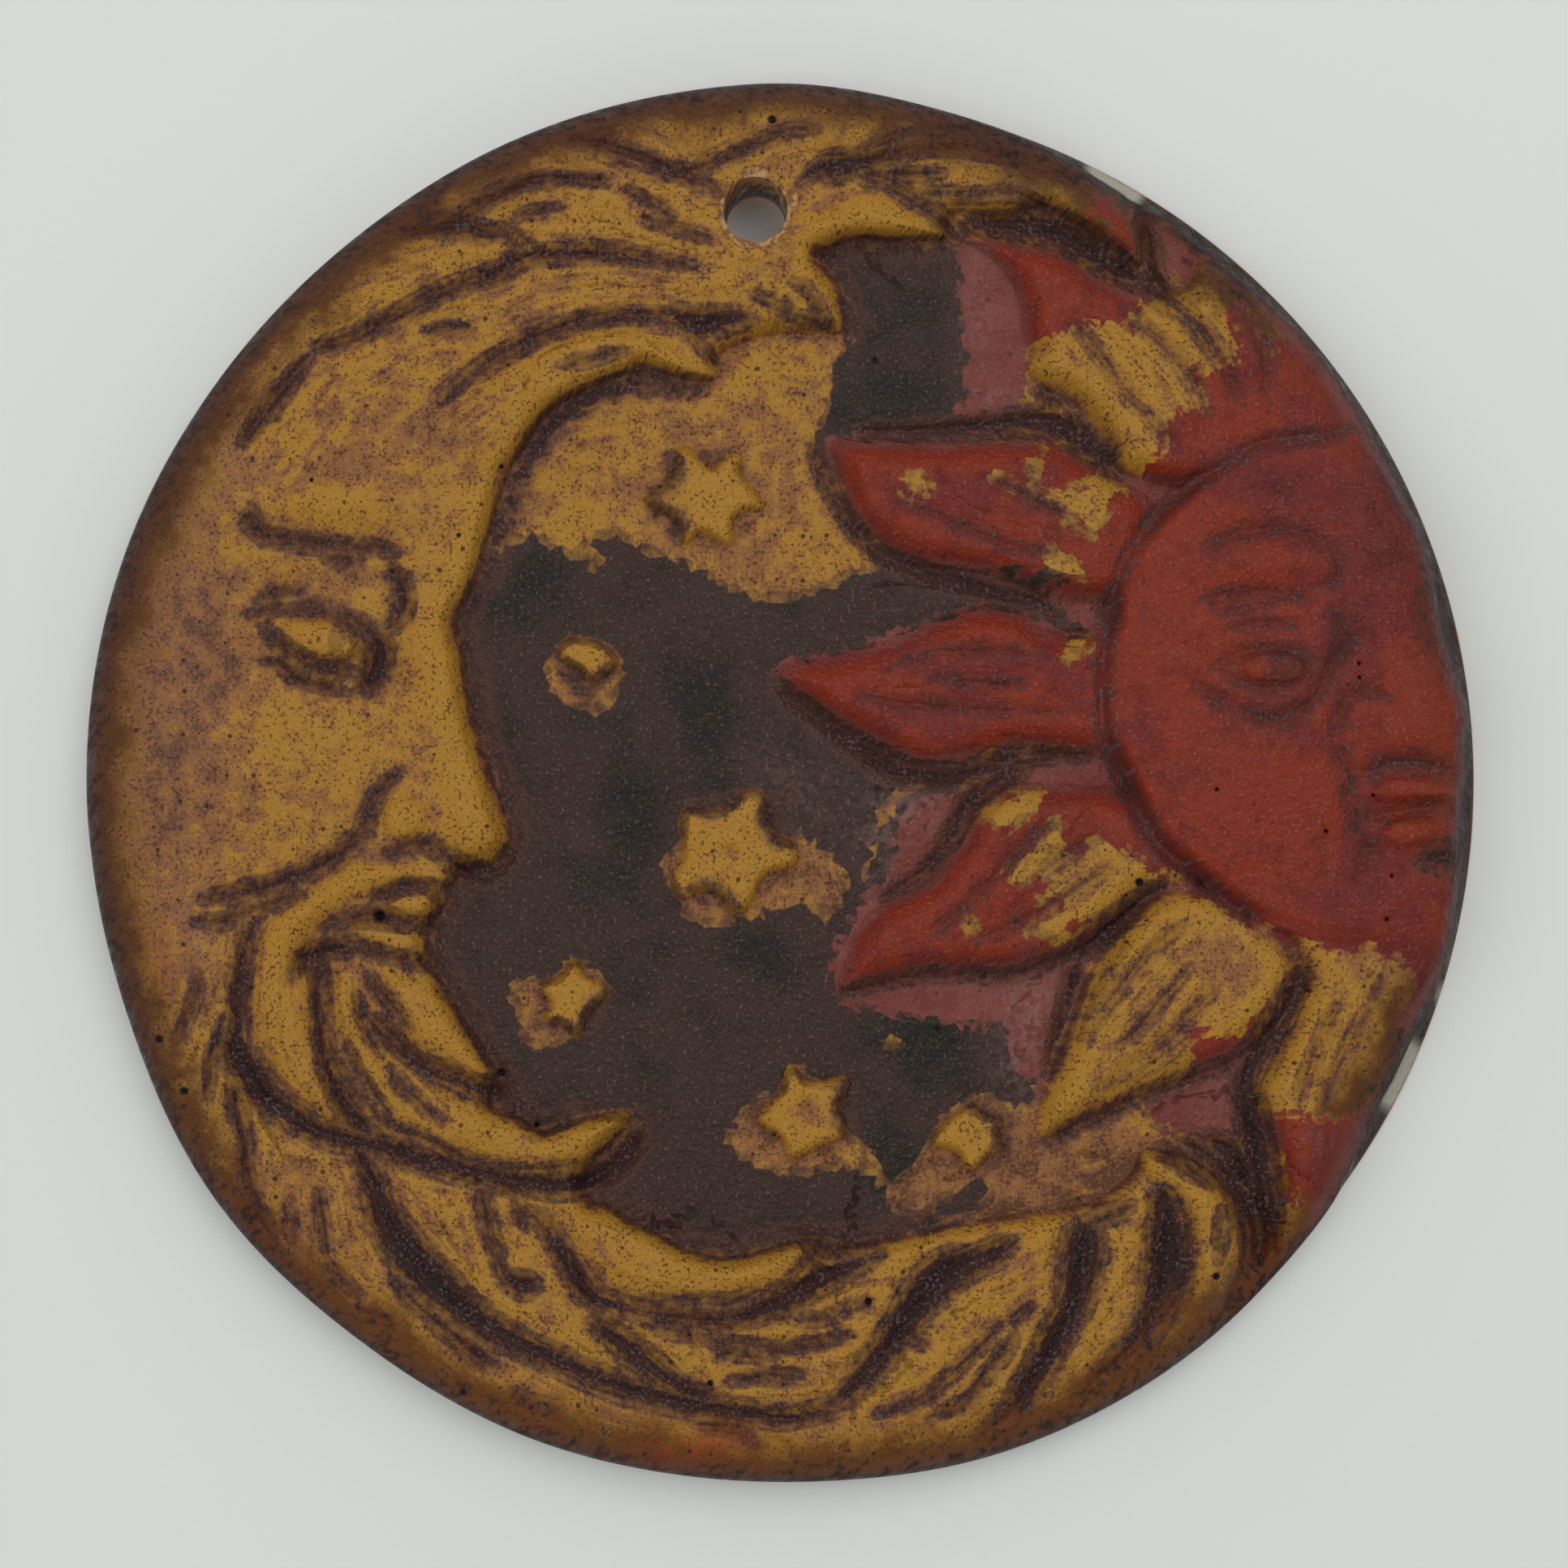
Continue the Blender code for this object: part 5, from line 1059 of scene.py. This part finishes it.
# Iron red, orange where it is thick, purplish in its low places, with painted shade on the slopes of the sun's face and
# a mauve cast on the sky's ground.
shade_of_red = plus(kept("red_dark_and_shade"), swing(blotches, 1.8), swing(patches, 1.0), swing(fine, 0.7))
# The red is darker in its low places, partly as painted shade.
shade_of_red = plus(shade_of_red, calc("MULTIPLY", relief, -0.35))
red = cover(colour(125, 43, 24), colour(106, 36, 31), level(shade_of_red, -0.4, 0.35))
red = cover(red, colour(74, 27, 27), calc("MULTIPLY", level(shade_of_red, 0.3, 1.3), 0.9))
low_ground = level(plus(apart["Y"], swing(patches, 0.0006)), -0.0101, -0.0086)
mauve = cover(colour(108, 52, 48), colour(122, 66, 60), level(blotches, 0.35, 0.65))
red = cover(red, mauve, calc("MULTIPLY", low_ground, 0.9))

edge_of_paint = plus(swing(patches, 1.0), swing(fine, 0.25))
sky_mask = level(plus(kept("sky"), calc("MULTIPLY", edge_of_paint, 0.35)), -0.18, 0.18)
red_mask = level(plus(kept("red"), edge_of_paint), -0.1, 0.12)
painted = cover(cover(ochre, charcoal, sky_mask), red, red_mask)
on_ochre = calc("|SUBTRACT", 1, calc("MAXIMUM", sky_mask, red_mask))
# Greyish bloom, partly painted sheen.
bloom_and_sheen = calc("|MULTIPLY", kept("bloom_and_sheen"), level(plus(patches, swing(fine, 1.2)), 0.3, 0.75))
painted = cover(painted, colour(138, 108, 102), calc("MULTIPLY", bloom_and_sheen, 0.5))

# Dark and pale grains of grit.
dark_grain = level(plus(grains["Y"], swing(patches, 0.35)), 0.62, 0.7)
painted = cover(painted, colour(72, 38, 22), calc("MULTIPLY", dark_grain, plus(0.25, calc("MULTIPLY", on_ochre, 0.5))))
pale_grain = calc("MULTIPLY", level(plus(grains["Z"], swing(fine, 0.3)), 0.65, 0.76), 0.2)
painted = cover(painted, cover(colour(150, 126, 116), colour(196, 158, 92), on_ochre), pale_grain)

# The dark wash in the grooves, with a thin halo, and a greyer one in the red. The same dark is painted shade at the
# foot of the relief, in the hollows beside the rays and on the nail hole's wall.
groove_and_shade = kept("groove_and_shade")
edge_of_wash = plus(swing(patches, 0.6), swing(fine, 0.5), calc("MULTIPLY", streaks, 0.6))
halo = calc("MULTIPLY", level(plus(groove_and_shade, edge_of_wash), -1.3, 0.2), 0.55)
painted = cover(painted, colour(88, 56, 44), halo)
in_groove_and_shade = level(plus(groove_and_shade, edge_of_wash), -0.28, 0.28)
groove_wash_and_shade = cover(colour(56, 33, 31), colour(28, 13, 14), level(plus(groove_and_shade, swing(blotches, 1.5)), 0.5, 1.9))
painted = cover(painted, groove_wash_and_shade, calc("MULTIPLY", in_groove_and_shade, 0.95))
fine_groove = kept("fine_groove")
fine_halo = calc("MULTIPLY", level(plus(fine_groove, edge_of_wash), -0.9, 0.3), 0.35)
painted = cover(painted, colour(74, 42, 34), fine_halo)
in_fine = level(plus(fine_groove, edge_of_wash), -0.1, 0.4)
painted = cover(painted, colour(54, 36, 34), calc("MULTIPLY", in_fine, 0.75))
on_ring = calc("MULTIPLY", level(plus(kept("ring"), swing(patches, 1.4), swing(fine, 0.6)), -0.8, 0.7), 0.75)
painted = cover(painted, colour(72, 48, 46), on_ring)
painted = cover(painted, colour(52, 34, 32), calc("MULTIPLY", level(kept("iris"), -0.3, 0.3), 0.7))
# Pale greyish flecks in the grooves, partly dust and partly painted sheen.
in_any = calc("MAXIMUM", in_groove_and_shade, calc("MAXIMUM", in_fine, on_ring))
dust_and_sheen = calc("MULTIPLY", in_any, level(plus(grains["Z"], swing(patches, 0.5)), 0.6, 0.72))
painted = cover(painted, colour(138, 124, 120), calc("MULTIPLY", dust_and_sheen, 0.25))

# The rim, worn brown with a nearly black outer line, and amber at the bottom.
rim = kept("rim")
edge_paint = cover(colour(70, 33, 17), colour(98, 50, 16), calc("MULTIPLY", level(apart["Z"], -0.02, -0.07), 0.75))
edge_paint = cover(edge_paint, colour(40, 24, 18), level(plus(patches, swing(fine, 1.2)), 0.48, 0.75))
on_rim = level(plus(rim, swing(blotches, 7), swing(patches, 7), swing(fine, 3)), 9, 2)
on_rim = calc("MULTIPLY", on_rim, calc("SUBTRACT", 0.9, calc("MULTIPLY", red_mask, 0.7)))
painted = cover(painted, edge_paint, on_rim)
rusty = calc("|MULTIPLY", kept("rusty"), level(plus(patches, swing(fine, 1)), 0.3, 0.6))
painted = cover(painted, colour(142, 60, 26), calc("MULTIPLY", rusty, 0.7))
painted = cover(painted, colour(34, 22, 18), calc("MULTIPLY", level(plus(rim, swing(patches, 1.6)), 1.0, 0.1), 0.85))

# Pinholes, pits and chips, then the bare side and back.
pinholes = specks(0.0026, 0.00032, 0.4)
painted = cover(painted, colour(40, 22, 15), calc("MULTIPLY", pinholes, plus(0.45, calc("MULTIPLY", on_ochre, 0.4))))
painted = cover(painted, colour(18, 11, 10), level(kept("pit"), 0.05, 0.45))
bare = level(plus(kept("bare"), swing(fine, 0.8)), 0.35, 0.65)
clay_colour = cover(colour(172, 136, 92), colour(128, 90, 56), level(fine, 0.4, 0.6))
painted = cover(painted, clay_colour, bare)
side_clay = cover(colour(46, 28, 20), colour(172, 166, 152), level(kept("pale_edge"), 0.3, 0.6))
painted = cover(painted, side_clay, level(plus(apart["Y"], swing(patches, 0.0008)), -0.0042, -0.0034))
back_clay = cover(colour(134, 86, 56), colour(148, 108, 80), level(plus(blotches, swing(fine, 0.5)), 0.25, 0.8))
behind = level(plus(apart["Y"], swing(patches, 0.0008)), -0.0014, -0.0006)
painted = cover(painted, back_clay, behind)
links.new(painted, shader.inputs["Base Color"])

worn = calc("MAXIMUM", bare, behind)
roughness = plus(0.52, swing(patches, 0.5), swing(fine, 0.4))
roughness = plus(roughness, calc("MULTIPLY", worn, 0.35), calc("MULTIPLY", in_groove_and_shade, 0.1))
links.new(roughness, shader.inputs["Roughness"])
shader.inputs["Specular IOR Level"].default_value = 0.17
height = plus(swing(fine, 0.3), swing(grain_noise.outputs["Fac"], 0.16), calc("MULTIPLY", streaks, 0.3))
bump = wired("Bump", {"Strength": 0.8, "Distance": 0.001, "Height": height})
links.new(bump.outputs["Normal"], shader.inputs["Normal"])
mesh.materials.clear()
mesh.materials.append(paint)
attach(plate, "root")
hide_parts("wall_plate")

# The stage. A plain pale wall close behind the plate, a plain pale floor well below it, and soft
# light: one large lamp from the upper right in front, and a weaker one that fills the shade.
def panel(name, size, place, turn):
    """A plain square of the stage."""
    bm = bmesh.new()
    bmesh.ops.create_grid(bm, x_segments=1, y_segments=1, size=size / 2)
    lay = Matrix.Translation(place) @ Matrix.Rotation(math.radians(turn), 4, "X")
    bmesh.ops.transform(bm, matrix=lay, verts=bm.verts)
    made = shaped(name, bm)
    return made


def pale(name, red_part, green_part, blue_part):
    """A matt pale finish that is seen from its front only."""
    finish = bpy.data.materials.new(name)
    finish.use_nodes = True
    tree = finish.node_tree
    matt = tree.nodes["Principled BSDF"]
    matt.inputs["Base Color"].default_value = colour(red_part, green_part, blue_part)
    matt.inputs["Roughness"].default_value = 0.95
    clear = tree.nodes.new("ShaderNodeBsdfTransparent")
    side = tree.nodes.new("ShaderNodeNewGeometry")
    either = tree.nodes.new("ShaderNodeMixShader")
    tree.links.new(side.outputs["Backfacing"], either.inputs[0])
    tree.links.new(matt.outputs[0], either.inputs[1])
    tree.links.new(clear.outputs[0], either.inputs[2])
    tree.links.new(either.outputs[0], tree.nodes["Material Output"].inputs["Surface"])
    return finish


WALL_GAP = 0.0006
FLOOR_DROP = 1.2
wall = panel("wall", 3, (0, WALL_GAP, 0), 90)
wall.data.materials.append(pale("wall paint", 221, 223, 220))
# The wall keeps no light from the plate's back, so that the back is lit when it is seen from behind.
wall.visible_shadow = False
wall.visible_diffuse = False
wall.visible_glossy = False
floor = panel("floor", 6, (0, 0, -FLOOR_DROP), 0)
floor.data.materials.append(pale("floor paint", 219, 222, 218))


def lamp(name, place, size, energy):
    """A soft square light that faces the plate."""
    light = bpy.data.lights.new(name, "AREA")
    light.size = size
    light.energy = energy
    made = bpy.data.objects.new(name, light)
    bpy.context.scene.collection.objects.link(made)
    made.location = place
    made.rotation_euler = (-made.location).to_track_quat("-Z", "Y").to_euler()
    return made


lamp("key", (0.3, -1.2, 0.5), size=0.9, energy=6.6)
lamp("fill", (-0.7, -1.1, -0.1), size=0.9, energy=3.8)
ROOM_LIGHT = 0.49
world = bpy.data.worlds.new("room")
bpy.context.scene.world = world
world.use_nodes = True
world.node_tree.nodes["Background"].inputs["Color"].default_value = (1, 1, 1, 1)
world.node_tree.nodes["Background"].inputs["Strength"].default_value = ROOM_LIGHT
bpy.context.scene.view_settings.view_transform = "Standard"

# The camera stands square in front of the plate, at the eye's distance from its highest point.
camera = bpy.data.cameras.new("camera")
camera.sensor_width = 36
PICTURE = 1932
PIXELS_PER_UNIT = 8.782
PLATE_AT = (969, 964)
camera.lens = camera.sensor_width * EYE_DISTANCE / (PICTURE / PIXELS_PER_UNIT * UNIT)
eye = bpy.data.objects.new("camera", camera)
eye.location = (
    (PICTURE / 2 - PLATE_AT[0]) / PIXELS_PER_UNIT * UNIT, -TOP_HEIGHT - EYE_DISTANCE,
    (PLATE_AT[1] - PICTURE / 2) / PIXELS_PER_UNIT * UNIT,
)  # fmt: skip
eye.rotation_euler = (math.radians(90), 0, 0)
bpy.context.scene.collection.objects.link(eye)
bpy.context.scene.camera = eye
